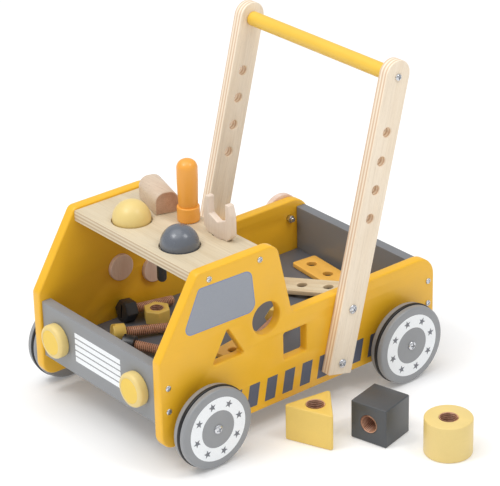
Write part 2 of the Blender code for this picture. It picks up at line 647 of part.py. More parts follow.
def build_driver():
    """Build the screwdriver: a thick orange handle with a collar, and a flat-ended shaft."""
    groove = 0.0011
    edge = DRIVER_END_ROUND
    bore = DRIVER_SHAFT_R + GAP
    profile = [(0.0, DRIVER_SOCKET), (bore, DRIVER_SOCKET), (bore, 0.0), (DRIVER_COLLAR_R - groove, 0.0),
               (DRIVER_COLLAR_R, groove), (DRIVER_COLLAR_R, DRIVER_COLLAR_H - groove),
               (DRIVER_R - groove, DRIVER_COLLAR_H), (DRIVER_R, DRIVER_COLLAR_H + 1.5 * groove)]
    profile += arc_profile(DRIVER_R - edge, DRIVER_H - edge, edge, 0, 75, 3)
    profile += [(0.0, DRIVER_H)]
    bm = bmesh.new()
    add_turned(bm, profile, ROUND_SIDES, "Z")
    place = (DRIVER_X, TOOL_ROW_Y, ROOF_SEAT)
    make("driver_handle", bm, orange_paint, place)

    top = DRIVER_SOCKET - GAP
    bottom = DRIVER_SHAFT_BOTTOM - ROOF_SEAT
    bm = bmesh.new()
    add_turned(bm, [(0.0, top), (DRIVER_SHAFT_R, top), (DRIVER_SHAFT_R, bottom), (0.0, bottom)],
               BOLT_SIDES, "Z")
    shaft = make("driver_shaft", bm, beech, place)
    face = DRIVER_BLADE_T / 2
    clear = 2 * DRIVER_SHAFT_R
    tool = bmesh.new()
    for side in (-1, 1):
        add_slab(tool, [(side * face, bottom - clear), (side * clear, bottom - clear),
                        (side * clear, bottom + DRIVER_BLADE_L),
                        (side * DRIVER_SHAFT_R, bottom + DRIVER_BLADE_L)], -clear, clear, "X")
    cut(shaft, tool)


def build_wrench():
    """Build the open-jaw wrench, whose flat tang drops through a slot in the roof."""
    half = WRENCH_W / 2
    jaw = WRENCH_JAW / 2
    foot = WRENCH_FOOT / 2
    tang = WRENCH_TANG_W / 2
    bottom = WRENCH_TANG_BOTTOM - ROOF_SEAT
    valley = WRENCH_H - WRENCH_JAW_DEPTH
    right = [(tang, bottom, 0.004), (tang, 0.0, 0.0), (foot, 0.0, 0.001), (half, WRENCH_CHEEK, 0.006),
             (half, WRENCH_H * 0.72, 0.009), (half * 0.84, WRENCH_H, 0.0025), (jaw, WRENCH_H, 0.0015),
             (jaw, valley, 0.0)]
    left = [(-x, z, r) for x, z, r in reversed(right)]
    bm = bmesh.new()
    outline = rounded(right + [(0.0, valley - WRENCH_VALLEY, 0.002)] + left)
    add_slab(bm, outline, -WRENCH_T / 2, WRENCH_T / 2, "Y")
    make("wrench", bm, beech, (WRENCH_X, TOOL_ROW_Y, ROOF_SEAT))


# ---------------------------------------------------------------- loose shape blocks


def build_blocks():
    """Build the three shape blocks that stand on the floor beside the walker."""
    side = (SQUARE_HOLE - SORT_CLEARANCE) * BLOCK_SCALE
    bm = bmesh.new()
    add_slab(bm, rectangle(-side / 2, 0.0, side / 2, side), -side / 2, side / 2, "X")
    cube = make("block_cube", bm, dark_paint, (CUBE_X, CUBE_Y, 0.0), (0.0, 0.0, CUBE_TURN))
    soften(cube, BLOCK_ROUND)
    tool = bmesh.new()
    add_slab(tool, ring(BLOCK_HOLE_R, ROUND_SIDES, (0.0, side / 2)), -side, side, "Y")
    cut(cube, tool)

    radius = CYLINDER_BLOCK_R
    height = ROUND_BLOCK_DEPTH * BLOCK_SCALE
    edge = BLOCK_ROUND
    bm = bmesh.new()
    add_turned(bm, [(BLOCK_HOLE_R, 0.0), (radius - edge, 0.0), (radius, edge), (radius, height - edge),
                    (radius - edge, height), (BLOCK_HOLE_R, height)], WHEEL_SIDES, "Z")
    make("block_cylinder", bm, cream_paint, (CYLINDER_X, CYLINDER_Y, 0.0))

    reach = (TRIANGLE_HOLE - SORT_CLEARANCE * 1.3) * BLOCK_SCALE / math.sqrt(3)
    corners = [(p.x, p.y, 0.003) for p in ring(reach, 3)]
    bm = bmesh.new()
    add_slab(bm, rounded(corners), 0.0, height, "Z")
    triangle = make("block_triangle", bm, yellow_block, (TRIANGLE_X, TRIANGLE_Y, 0.0),
                    (0.0, 0.0, TRIANGLE_TURN))
    soften(triangle, BLOCK_ROUND)
    tool = bmesh.new()
    add_slab(tool, ring(BLOCK_HOLE_R, ROUND_SIDES), -height, 2 * height, "Z")
    cut(triangle, tool)


# ---------------------------------------------------------------- building set in the tray


def lay(head_r, head_t, x, y, yaw, level=False):
    """Return the place and turn of a headed bolt that lies along local +X, on its tip or held level."""
    shank_r = THREAD_D / 2
    pitch = 0.0 if level else math.atan((head_r - shank_r) / SHANK_L)
    height = FLOOR_SEAT + head_t * math.sin(pitch) + head_r * math.cos(pitch)
    return (x, y, height), (0.0, pitch, yaw)


def build_hex_bolt(name, material, x, y, yaw, level=False):
    """Build a large hexagon-head bolt with a round shank."""
    bm = bmesh.new()
    across = HEX_HEAD_ACROSS / 2
    add_slab(bm, ring(across / math.cos(math.pi / 6), 6), 0.0, HEX_HEAD_T, "X")
    place, turn = lay(across, HEX_HEAD_T, x, y, yaw, level)
    head = make(name, bm, material, place, turn)
    soften(head, 0.0012)
    bm = bmesh.new()
    add_turned(bm, bolt_shank(HEX_HEAD_T), BOLT_SIDES, "X")
    join(head, bm)


def bolt_shank(head_t):
    """Return the profile of a bolt's shank, sunk into its head and chamfered at its tip."""
    radius = THREAD_D / 2
    tip = head_t + SHANK_L
    return [(0.0, head_t / 2), (radius, head_t / 2), (radius, tip - SHANK_CHAMFER),
            (radius - SHANK_CHAMFER, tip), (0.0, tip)]


def join(part, bm):
    """Unite the shape in a bmesh, given in the part's own axes, with the part."""
    tool = make(part.name + "_joined", bm, part.data.materials[0], part.location, part.rotation_euler)
    tool.hide_render = True
    tool.display_type = "WIRE"
    boolean = part.modifiers.new("joined", "BOOLEAN")
    boolean.operation = "UNION"
    boolean.solver = "EXACT"
    boolean.object = tool


def build_slot_screw(name, material, x, y, yaw):
    """Build a slotted round-head screw."""
    radius = SLOT_HEAD_D / 2
    edge = 0.0012
    shank = THREAD_D / 2
    tip = SLOT_HEAD_T + SHANK_L
    place, turn = lay(radius, SLOT_HEAD_T, x, y, yaw)
    bm = bmesh.new()
    add_turned(bm, [(0.0, 0.0), (radius - edge, 0.0), (radius, edge), (radius, SLOT_HEAD_T),
                    (shank, SLOT_HEAD_T), (shank, tip - SHANK_CHAMFER), (shank - SHANK_CHAMFER, tip),
                    (0.0, tip)], ROUND_SIDES, "X")
    screw = make(name, bm, material, place, turn)
    tool = bmesh.new()
    slot = rectangle(-SLOT_W / 2, -SLOT_HEAD_D, SLOT_W / 2, SLOT_HEAD_D)
    add_slab(tool, slot, -SLOT_DEPTH, SLOT_DEPTH, "X")
    cut(screw, tool)


def build_nut(name, material, x, y, turn):
    """Build a large hexagon nut that stands on the tray's floor."""
    bm = bmesh.new()
    add_slab(bm, ring(NUT_ACROSS / 2 / math.cos(math.pi / 6), 6), 0.0, NUT_H, "Z")
    nut = make(name, bm, material, (x, y, FLOOR_SEAT), (0.0, 0.0, turn))
    soften(nut, 0.0014)
    tool = bmesh.new()
    add_slab(tool, ring(PLANK_HOLE_D / 2, BOLT_SIDES), -NUT_H, 2 * NUT_H, "Z")
    cut(nut, tool)


def build_plank(name, material, holes, place, turn):
    """Build a plank with a row of bolt holes; its origin is under its first hole."""
    half = PLANK_W / 2
    last = (holes - 1) * PLANK_PITCH
    bm = bmesh.new()
    add_slab(bm, rectangle(-half, -half, last + half, half, 0.003), 0.0, PLANK_T, "Z")
    plank = make(name, bm, material, place, turn)
    soften(plank, 0.0010)
    tool = bmesh.new()
    for step in range(holes):
        bore = ring(PLANK_HOLE_D / 2, BOLT_SIDES, (step * PLANK_PITCH, 0.0))
        add_slab(tool, bore, -PLANK_T, 2 * PLANK_T, "Z")
    cut(plank, tool)


def build_tray_set():
    """Build the bolts, screws, nut and planks that lie in the truck, placed by shares of its half width."""
    share = PANEL_IN
    black_x = -PANEL_IN + HEX_HEAD_ACROSS / 2 / math.cos(math.pi / 6) + PANEL_BESIDE
    build_hex_bolt("hex_bolt_black", black_paint, black_x, -0.1240, math.radians(87))
    build_hex_bolt("hex_bolt_yellow", yellow_block, 0.341 * share, 0.0153, math.radians(294), True)
    build_slot_screw("slot_screw_yellow", yellow_block, -0.559 * share, -0.1620, math.radians(69))
    build_slot_screw("slot_screw_dark", dark_paint, -0.307 * share, -0.1660, math.radians(33))
    build_nut("hex_nut_yellow", yellow_block, black_x + THREAD_D / 2 + NUT_BESIDE, -0.0890,
              math.radians(30))
    build_plank("plank_yellow", yellow_block, 4, (-0.475 * share, 0.1392, FLOOR_SEAT),
                (0.0, 0.0, math.radians(-5)))
    tilt = math.asin((PLANK_T + GAP) / PLANK_LEAN_REACH)
    rise = FLOOR_SEAT + PLANK_W / 2 * math.sin(tilt)
    build_plank("plank_natural", birch, 4, (-0.355 * share, 0.0706, rise),
                (0.0, -tilt, math.radians(30)))
    build_plank("plank_short", yellow_block, 2, (0.535 * share, -0.0750, FLOOR_SEAT),
                (0.0, 0.0, math.radians(100)))


# ---------------------------------------------------------------- build

for leftover in list(bpy.data.objects):
    bpy.data.objects.remove(leftover, do_unlink=True)

set_frame = bpy.data.objects.new("set_frame", None)
set_frame.location = -SET_MIDDLE
bpy.context.collection.objects.link(set_frame)

yellow_paint = finish("yellow_paint", (0.88, 0.53, 0.03), 0.45)
grey_paint = finish("grey_paint", (0.34, 0.35, 0.37), 0.5)
wheel_paint = finish("wheel_paint", (0.30, 0.31, 0.33), 0.45)
dark_paint = finish("dark_paint", (0.075, 0.085, 0.10), 0.4)
black_paint = finish("black_paint", (0.015, 0.016, 0.018), 0.4)
cream_paint = finish("cream_paint", (0.87, 0.70, 0.27), 0.4)
yellow_block = finish("yellow_block", (0.86, 0.58, 0.13), 0.45)
orange_paint = finish("orange_paint", (0.88, 0.38, 0.05), 0.4)
birch = finish("birch", (0.83, 0.68, 0.48), 0.55)
beech = finish("beech", (0.78, 0.53, 0.36), 0.55)
rubber = finish("rubber", (0.02, 0.02, 0.02), 0.75)
grey_plastic = finish("grey_plastic", (0.25, 0.25, 0.26), 0.5)
zinc = finish("zinc", (0.72, 0.72, 0.74), 0.3, 1.0)

build_side_panels()
build_boards()
build_lamps()
build_wheels()
build_handle()
build_turning_pieces()
build_balls()
build_mallet()
build_driver()
build_wrench()
build_blocks()
build_tray_set()
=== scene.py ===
"""Looks of a wooden truck walker with its tools, building bolts and shape blocks.

Every sub-assembly is a class whose fields are its sizes in metres.  Its meshes are made in the
walker's own axes (+X its left side, -Y its front, the floor at zero, X zero in its middle plane) and
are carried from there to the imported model's frame, so each piece lies where its CAD node lies.
"""

import json
import logging
import math
from dataclasses import dataclass
from enum import Enum

import bmesh
import bpy
from mathutils import Euler, Matrix, Vector
from mathutils.geometry import tessellate_polygon


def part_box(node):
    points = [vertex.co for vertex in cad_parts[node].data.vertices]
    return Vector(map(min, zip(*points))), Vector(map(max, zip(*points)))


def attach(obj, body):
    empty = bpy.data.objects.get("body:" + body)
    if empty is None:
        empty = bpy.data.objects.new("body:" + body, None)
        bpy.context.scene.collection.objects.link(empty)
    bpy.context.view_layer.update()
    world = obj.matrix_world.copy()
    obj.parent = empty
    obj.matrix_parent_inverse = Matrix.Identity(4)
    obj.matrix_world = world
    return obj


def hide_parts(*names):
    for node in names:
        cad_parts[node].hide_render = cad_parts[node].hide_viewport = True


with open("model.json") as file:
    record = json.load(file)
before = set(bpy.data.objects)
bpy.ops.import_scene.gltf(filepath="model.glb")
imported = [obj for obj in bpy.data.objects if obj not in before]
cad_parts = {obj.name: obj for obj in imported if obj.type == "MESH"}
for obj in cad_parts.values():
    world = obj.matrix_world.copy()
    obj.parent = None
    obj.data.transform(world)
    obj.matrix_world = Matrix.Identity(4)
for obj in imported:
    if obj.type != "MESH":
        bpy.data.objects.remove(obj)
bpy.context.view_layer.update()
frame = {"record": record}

LOG = logging.getLogger("walker")

GAP = 0.0003                # clearance between pieces that touch
INK = 0.00008               # how far a printed layer stands proud
PANEL_FRONT = -0.229        # front edge of the side panels
FRONT_AXLE, REAR_AXLE = -0.1729, 0.1207
BODY_OUT = 0.1209           # outer face of a side panel, from the middle plane
PANEL_T = 0.0135
PANEL_IN = BODY_OUT - PANEL_T
WHEEL_R = 0.050
FLOOR_TOP = 0.0712
ROOF_TOP = 0.229
MALLET_X = -0.0540          # middle of the mallet and its roof hole
TOOL_ROW_Y = -0.0905        # row of tools across the roof
THREAD_R = 0.0060
THREAD_PITCH = 0.0024
THREAD_DEPTH = 0.0011
# Share of a thread's turn that is groove; those faces get painted shade.
SHADED_GROOVE_BAND = (0.30, 0.70)   # share of a thread's turn that is groove
SLEEVE_WALL = 0.0003        # wood behind the deepest part of a threaded bore
SHANK_TAPER = 0.0012        # at a shank's far end


class Axis(Enum):
    """Direction that a slab's thickness or a turned piece's centre line runs in."""

    X = "X"
    Y = "Y"
    Z = "Z"


class Hand(Enum):
    """Side of the walker, with the sign of its X."""

    LEFT = 1
    RIGHT = -1

    @property
    def word(self) -> str:
        """Name of the side as node names spell it."""
        return self.name.lower()


def walker_origin() -> Vector:
    """Return the walker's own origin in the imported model's frame, from its panels and a wheel."""
    nodes = ("side_panel_left", "side_panel_right", "wheel_front_left")
    left, right, wheel = (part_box(node) for node in nodes)
    return Vector(((left[1].x + right[0].x) / 2, (wheel[0].y + wheel[1].y) / 2 - FRONT_AXLE, 0.0))


ORIGIN = walker_origin()
BODY_OF = {node: body for body, nodes in frame["record"]["behaviour"]["bodies"].items() for node in nodes}

# ---------------------------------------------------------------- finishes

Colour = tuple[float, float, float]


def screen(red: int, green: int, blue: int) -> Colour:
    """Return a screen colour, 0 to 255, as the linear colour a shader takes."""
    parts = [value / 255 for value in (red, green, blue)]
    return tuple(v / 12.92 if v <= 0.04045 else ((v + 0.055) / 1.055) ** 2.4 for v in parts)


def shade(colour: Colour, factor: float) -> Colour:
    """Return a colour made lighter or darker by a factor."""
    return tuple(min(1.0, channel * factor) for channel in colour)


class Tree:
    """A material's node tree, with short calls for the nodes that the finishes share."""

    def __init__(self, name: str, roughness: float, metallic: float = 0.0, coat: float = 0.0) -> None:
        """Start a material with a Principled shader.

        Args:
            name: Name of the material.
            roughness: Roughness where nothing is linked to it.
            metallic: Metallic share.
            coat: Weight of a clear coat over the surface.
        """
        self.material = bpy.data.materials.new(name)
        self.material.use_nodes = True
        self.tree = self.material.node_tree
        self.shader = self.tree.nodes["Principled BSDF"]
        self.shader.inputs["Roughness"].default_value = roughness
        self.shader.inputs["Metallic"].default_value = metallic
        self.shader.inputs["Coat Weight"].default_value = coat
        self.shader.inputs["Coat Roughness"].default_value = 0.25
        self.place = self.add("ShaderNodeTexCoord").outputs["Object"]

    def add(self, kind: str, **settings: object) -> bpy.types.Node:
        """Add a node and set its properties."""
        node = self.tree.nodes.new(kind)
        for key, value in settings.items():
            setattr(node, key, value)
        return node

    def link(self, source: object, target: object) -> None:
        """Link a socket, or set a plain value on it."""
        if isinstance(source, bpy.types.NodeSocket):
            self.tree.links.new(source, target)
        else:
            is_colour = isinstance(source, tuple) and len(source) == 3
            target.default_value = (*source, 1.0) if is_colour else source

    def drive(self, socket: str, source: object) -> None:
        """Link a socket to the shader, or set it there."""
        self.link(source, self.shader.inputs[socket])

    def along(self, grain: Vector, fine: float, coarse: float) -> bpy.types.NodeSocket:
        """Return coordinates stretched along the grain.

        Args:
            grain: Direction of the grain.
            fine: Scale across the grain.
            coarse: Scale along it.

        Returns:
            The vector socket, with the grain along its X.
        """
        grain = grain.normalized()
        side = grain.orthogonal().normalized()
        join = self.add("ShaderNodeCombineXYZ")
        for index, (axis, scale) in enumerate(((grain, coarse), (side, fine), (grain.cross(side), fine))):
            dot = self.add("ShaderNodeVectorMath", operation="DOT_PRODUCT")
            self.link(self.place, dot.inputs[0])
            dot.inputs[1].default_value = axis * scale
            self.link(dot.outputs["Value"], join.inputs[index])
        return join.outputs["Vector"]

    def noise(self, vector: bpy.types.NodeSocket, scale: float, detail: float = 3.0,
              distortion: float = 0.0) -> bpy.types.NodeSocket:
        """Return a noise texture's factor at a scale, a detail and a distortion."""
        node = self.add("ShaderNodeTexNoise")
        self.link(vector, node.inputs["Vector"])
        node.inputs["Scale"].default_value = scale
        node.inputs["Detail"].default_value = detail
        node.inputs["Distortion"].default_value = distortion
        return node.outputs["Fac"]

    def remap(self, source: bpy.types.NodeSocket, start: float, stop: float, low: float,
              high: float) -> bpy.types.NodeSocket:
        """Return a value carried from start..stop to low..high and held inside it."""
        node = self.add("ShaderNodeMapRange")
        self.link(source, node.inputs["Value"])
        for socket, value in zip(("From Min", "From Max", "To Min", "To Max"), (start, stop, low, high)):
            node.inputs[socket].default_value = value
        return node.outputs["Result"]

    def math(self, operation: str, first: object, second: object = 0.0) -> bpy.types.NodeSocket:
        """Return the result of a Math node."""
        node = self.add("ShaderNodeMath", operation=operation)
        self.link(first, node.inputs[0])
        self.link(second, node.inputs[1])
        return node.outputs["Value"]

    def mix(self, factor: object, first: object, second: object) -> bpy.types.NodeSocket:
        """Return a mix of two colours."""
        node = self.add("ShaderNodeMix", data_type="RGBA")
        self.link(factor, node.inputs["Factor"])
        self.link(first, node.inputs[6])
        self.link(second, node.inputs[7])
        return node.outputs[2]

    def bump(self, height: bpy.types.NodeSocket, strength: float, distance: float) -> None:
        """Link a height to the shader's normal through a Bump node."""
        node = self.add("ShaderNodeBump")
        node.inputs["Strength"].default_value = strength
        node.inputs["Distance"].default_value = distance
        self.link(height, node.inputs["Height"])
        self.drive("Normal", node.outputs["Normal"])


@dataclass(frozen=True)
class Paint:
    """Satin paint on sanded wood, with the grain showing faintly through it."""

    name: str
    colour: Colour
    roughness: float = 0.42
    mottle: float = 0.05
    grain: Vector = Vector((0.0, 1.0, 0.0))
    coat: float = 0.12

    def material(self) -> bpy.types.Material:
        """Return the paint's material."""
        tree = Tree(self.name, self.roughness, coat=self.coat)
        cloud = tree.noise(tree.place, 26.0, 4.0)
        streak = tree.noise(tree.along(self.grain, 1.0, 0.06), 520.0, 2.0, 0.3)
        tone = tree.mix(tree.remap(cloud, 0.35, 0.65, 0.0, 1.0), shade(self.colour, 1 - self.mottle),
                        shade(self.colour, 1 + self.mottle))
        tone = tree.mix(tree.remap(streak, 0.52, 0.75, 0.0, 0.35), tone,
                        shade(self.colour, 1 - 2 * self.mottle))
        tree.drive("Base Color", tone)
        tree.drive("Roughness", tree.remap(cloud, 0.3, 0.7, self.roughness - 0.05, self.roughness + 0.06))
        skin = tree.noise(tree.place, 1400.0, 2.0)
        relief = tree.math("ADD", tree.math("MULTIPLY", streak, 0.7), tree.math("MULTIPLY", skin, 0.3))
        tree.bump(relief, 0.10, 0.0002)
        return tree.material


@dataclass(frozen=True)
class Wood:
    """Clear-lacquered wood, with plies showing on its edges where it is plywood."""

    name: str
    light: Colour
    dark: Colour
    grain: Vector = Vector((1.0, 0.0, 0.0))
    roughness: float = 0.5
    flecks: float = 0.25
    ply: Vector | None = None
    ply_pitch: float = 0.0045
    edge: Colour = (0.60, 0.45, 0.31)
    figure: float = 1.0

    def material(self) -> bpy.types.Material:
        """Return the wood's material."""
        tree = Tree(self.name, self.roughness, coat=0.05)
        bands = tree.noise(tree.along(self.grain, 1.0, 0.09), 62.0, 5.0, 0.55)
        fibres = tree.noise(tree.along(self.grain, 1.0, 0.035), 640.0, 3.0, 0.2)
        pores = tree.noise(tree.along(self.grain, 1.0, 0.10), 1500.0, 1.0)
        tone = tree.mix(tree.remap(bands, 0.34, 0.68, 0.0, self.figure), self.light, self.dark)
        tone = tree.mix(tree.remap(fibres, 0.48, 0.78, 0.0, 0.55), tone, shade(self.dark, 0.86))
        tone = tree.mix(tree.remap(pores, 0.62, 0.75, 0.0, self.flecks), tone, shade(self.dark, 0.62))
        if self.ply is not None:
            tone = self.plied(tree, tone, fibres)
        tree.drive("Base Color", tone)
        tree.drive("Roughness", tree.remap(fibres, 0.3, 0.7, self.roughness - 0.06, self.roughness + 0.08))
        relief = tree.math("ADD", tree.math("MULTIPLY", fibres, 0.6), tree.math("MULTIPLY", pores, 0.4))
        tree.bump(relief, 0.16, 0.00025)
        return tree.material

    def plied(self, tree: Tree, tone: bpy.types.NodeSocket,
              fibres: bpy.types.NodeSocket) -> bpy.types.NodeSocket:
        """Return the tone with plies on the surfaces that run along the board's thickness.

        Args:
            tree: Tree to add to.
            tone: Colour of the board's faces.
            fibres: Noise that roughens the plies' borders.

        Returns:
            The colour with the edges' plies in it.
        """
        depth = tree.add("ShaderNodeVectorMath", operation="DOT_PRODUCT")
        tree.link(tree.place, depth.inputs[0])
        depth.inputs[1].default_value = self.ply * (math.tau / self.ply_pitch)
        wave = tree.math("SINE", tree.math("ADD", depth.outputs["Value"], fibres))
        layers = tree.mix(tree.remap(wave, -0.55, 0.55, 0.0, 1.0), self.edge, shade(self.light, 1.04))
        facing = tree.add("ShaderNodeVectorMath", operation="DOT_PRODUCT")
        tree.link(tree.add("ShaderNodeTexCoord").outputs["Normal"], facing.inputs[0])
        facing.inputs[1].default_value = self.ply
        edge_on = tree.remap(tree.math("ABSOLUTE", facing.outputs["Value"]), 0.30, 0.55, 1.0, 0.0)
        return tree.mix(edge_on, tone, layers)


@dataclass(frozen=True)
class Ink:
    """A flat printed layer."""

    name: str
    colour: Colour
    roughness: float = 0.5

    def material(self) -> bpy.types.Material:
        """Return the ink's material."""
        tree = Tree(self.name, self.roughness)
        grain = tree.noise(tree.place, 900.0, 3.0)
        tree.drive("Base Color", tree.mix(tree.remap(grain, 0.3, 0.7, 0.0, 1.0), shade(self.colour, 0.96),
                                          shade(self.colour, 1.03)))
        tree.bump(grain, 0.05, 0.0001)
        return tree.material


@dataclass(frozen=True)
class Moulded:
    """Rubber or plastic with a fine matt skin."""

    name: str
    colour: Colour
    roughness: float = 0.7

    def material(self) -> bpy.types.Material:
        """Return the moulded surface's material."""
        tree = Tree(self.name, self.roughness)
        skin = tree.noise(tree.place, 2200.0, 2.0)
        dust = tree.noise(tree.place, 70.0, 5.0)
        tree.drive("Base Color", tree.mix(tree.remap(dust, 0.45, 0.8, 0.0, 0.5), self.colour,
                                          shade(self.colour, 1.7)))
        tree.drive("Roughness", tree.remap(dust, 0.3, 0.7, self.roughness - 0.08, self.roughness + 0.08))
        tree.bump(skin, 0.2, 0.0001)
        return tree.material


@dataclass(frozen=True)
class Plated:
    """Zinc-plated steel with a faintly brushed surface."""

    name: str
    colour: Colour
    roughness: float = 0.26

    def material(self) -> bpy.types.Material:
        """Return the plated metal's material."""
        tree = Tree(self.name, self.roughness, metallic=1.0)
        haze = tree.noise(tree.place, 420.0, 4.0)
        tree.drive("Base Color", tree.mix(haze, shade(self.colour, 0.88), shade(self.colour, 1.05)))
        tree.drive("Roughness", tree.remap(haze, 0.3, 0.7, self.roughness - 0.06, self.roughness + 0.12))
        tree.bump(haze, 0.08, 0.0001)
        return tree.material


Finish = Paint | Wood | Ink | Moulded | Plated
LEAN = math.radians(14.27)
UP_LEAN = Vector((0.0, math.sin(LEAN), math.cos(LEAN)))
AXIS_X, AXIS_Z = Vector((1.0, 0.0, 0.0)), Vector((0.0, 0.0, 1.0))

YELLOW = Paint("yellow_paint_satin", screen(243, 186, 38), 0.40, 0.02)
BAR_YELLOW = Paint("bar_yellow_paint", screen(240, 196, 70), 0.38, 0.025, AXIS_X)
GREY = Paint("grey_paint_satin", screen(140, 142, 145), 0.45, 0.03, AXIS_X)
# Bumper grey darkened as painted shade for the tail board.
TAIL_GREY_SHADED = Paint("tail_grey_paint", screen(122, 124, 128), 0.45, 0.03, AXIS_X)
# Grey floor paint, darkened further as painted shade inside the bed.
BOARD_GREY_SHADED = Paint("board_grey_paint", screen(98, 100, 106), 0.45, 0.04, AXIS_X)
WHEEL_GREY = Paint("wheel_grey_paint", screen(146, 148, 151), 0.40, 0.03, AXIS_Z)
SLATE = Paint("slate_paint", screen(72, 75, 79), 0.36, 0.04)
BALL_SLATE = Paint("ball_slate_paint", screen(98, 103, 112), 0.24, 0.03, coat=0.35)
BLACK = Paint("black_paint", screen(40, 42, 46), 0.36, 0.06)
CREAM = Paint("cream_paint", screen(232, 206, 132), 0.42, 0.02)
LAMP_FACE = Paint("lamp_face_paint", screen(242, 204, 74), 0.42, 0.03)
WARM = Paint("warm_yellow_paint", screen(236, 202, 104), 0.42, 0.03)
PLANK = Paint("plank_yellow_paint", screen(240, 184, 84), 0.42, 0.04, AXIS_X)
ORANGE = Paint("orange_paint", screen(243, 168, 66), 0.36, 0.02, AXIS_Z)
BIRCH_ROOF = Wood("birch_ply_roof", screen(218, 204, 177), screen(206, 189, 158), AXIS_X, ply=AXIS_Z,
                  edge=screen(196, 172, 138))
BIRCH_UPRIGHT = Wood("birch_ply_upright", screen(248, 233, 211), screen(238, 219, 192), UP_LEAN, ply=AXIS_X,
                     edge=screen(226, 196, 166), figure=0.7)
BIRCH = Wood("birch_board", screen(234, 217, 200), screen(220, 198, 178), AXIS_Z, flecks=0.1, figure=0.6)
BEECH = Wood("beech", screen(221, 203, 182), screen(206, 181, 157), AXIS_X, flecks=0.4)
# End grain, darkened further as painted shade on the mallet's end faces.
BEECH_END_SHADED = Wood("beech_end_grain", screen(206, 172, 148), screen(180, 142, 118), AXIS_X, flecks=0.7)
BEECH_THREAD = Wood("beech_thread", screen(222, 176, 146), screen(196, 142, 112), AXIS_X, flecks=0.4)
# Painted shade: darker beech for the faces in the threads' grooves.
BEECH_GROOVE_SHADE = Wood("beech_groove", screen(150, 104, 78), screen(128, 84, 62), AXIS_X, flecks=0.4)
# Pale beech, lightened as painted light on the discs, which sit in shade.
BEECH_DISC_LIT = Wood("beech_disc", screen(244, 220, 204), screen(230, 198, 180), AXIS_Z, flecks=0.45)
RUBBER = Moulded("black_rubber", screen(20, 20, 22), 0.45)
PLASTIC = Moulded("grey_plastic", screen(120, 120, 122), 0.5)
ZINC = Plated("zinc_plate", screen(214, 216, 220))
WINDOW_INK = Ink("window_ink", screen(151, 156, 166), 0.42)
WINDOW_LINE_INK = Ink("window_line_ink", screen(126, 142, 178), 0.42)
STRIPE_INK = Ink("stripe_ink", screen(88, 95, 114), 0.45)
WHITE_INK = Ink("white_ink", screen(244, 247, 250), 0.45)
STAR_INK = Ink("star_ink", screen(116, 119, 126), 0.5)

MADE: dict[str, bpy.types.Material] = {}


def material_of(finish: Finish) -> bpy.types.Material:
    """Return a finish's material, made once."""
    if finish.name not in MADE:
        MADE[finish.name] = finish.material()
    return MADE[finish.name]


# ---------------------------------------------------------------- outlines and meshes

Outline = list[Vector]
Loop = list[Vector]
ARC_STEP = math.radians(7.5)
SHARP = math.radians(32)


def rounded(corners: list[tuple[float, float, float]]) -> Outline:
    """Return the outline of a polygon whose corners (x, y, radius) are turned into arcs."""
    points: Outline = []
    for index, (x, y, radius) in enumerate(corners):
        here = Vector((x, y))
        if radius == 0:
            points.append(here)
            continue
        back = (Vector(corners[index - 1][:2]) - here).normalized()
        ahead = (Vector(corners[(index + 1) % len(corners)][:2]) - here).normalized()
        half = back.angle(ahead) / 2
        centre = here + (back + ahead).normalized() * radius / math.sin(half)
        start = here + back * radius / math.tan(half) - centre
        end = here + ahead * radius / math.tan(half) - centre
        first = math.atan2(start.y, start.x)
        sweep = (math.atan2(end.y, end.x) - first + math.pi) % math.tau - math.pi
        steps = max(2, math.ceil(abs(sweep) / ARC_STEP))
        points += [centre + radius * Vector((math.cos(first + sweep * step / steps),
                                             math.sin(first + sweep * step / steps)))
                   for step in range(steps + 1)]
    return points


def rectangle(low_x: float, low_y: float, high_x: float, high_y: float, radius: float = 0.0) -> Outline:
    """Return a rectangle's outline with equal corner radii."""
    return rounded([(low_x, low_y, radius), (high_x, low_y, radius), (high_x, high_y, radius),
                    (low_x, high_y, radius)])


def ring(radius: float, count: int = 48, centre: tuple[float, float] = (0.0, 0.0)) -> Outline:
    """Return the points of a circle."""
    return [Vector((centre[0] + radius * math.cos(math.tau * step / count),
                    centre[1] + radius * math.sin(math.tau * step / count))) for step in range(count)]


def arc(centre_r: float, centre_d: float, radius: float, first: float, last: float,
        steps: int = 5) -> list[tuple[float, float]]:
    """Return (radius, depth) points of an arc in degrees, for a turned piece's rounded edge."""
    angles = [math.radians(first + (last - first) * step / steps) for step in range(steps + 1)]
    return [(max(0.0, centre_r + radius * math.cos(a)), centre_d + radius * math.sin(a)) for a in angles]


def oriented(outline: Outline, counter: bool) -> Outline:
    """Return an outline wound the asked way round."""
    area = sum(a.cross(b) for a, b in zip(outline, outline[1:] + outline[:1]))
    return outline if (area > 0) == counter else outline[::-1]


def inset(outline: Outline, amount: float) -> Outline:
    """Return an outline moved to its left by an amount, with mitred corners."""
    moved = []
    for index, here in enumerate(outline):
        into = (here - outline[index - 1]).normalized()
        out = (outline[(index + 1) % len(outline)] - here).normalized()
        left = Vector((-into.y, into.x)) + Vector((-out.y, out.x))
        moved.append(here + left * (2 * amount / left.length_squared))
    return moved


def spatial(axis: Axis, x: float, y: float, depth: float) -> Vector:
    """Return the 3-D point of an outline point at a depth along an axis."""
    return Vector({Axis.X: (depth, x, y), Axis.Y: (x, depth, y), Axis.Z: (x, y, depth)}[axis])


def settle(bm: bmesh.types.BMesh, name: str) -> bpy.types.Mesh:
    """Turn a bmesh into a mesh with merged points, outward faces and soft shading."""
    bmesh.ops.remove_doubles(bm, verts=bm.verts, dist=1e-6)
    bmesh.ops.recalc_face_normals(bm, faces=bm.faces)
    mesh = bpy.data.meshes.new(name)
    bm.to_mesh(mesh)
    bm.free()
    mesh.set_sharp_from_angle(angle=SHARP)
    return mesh


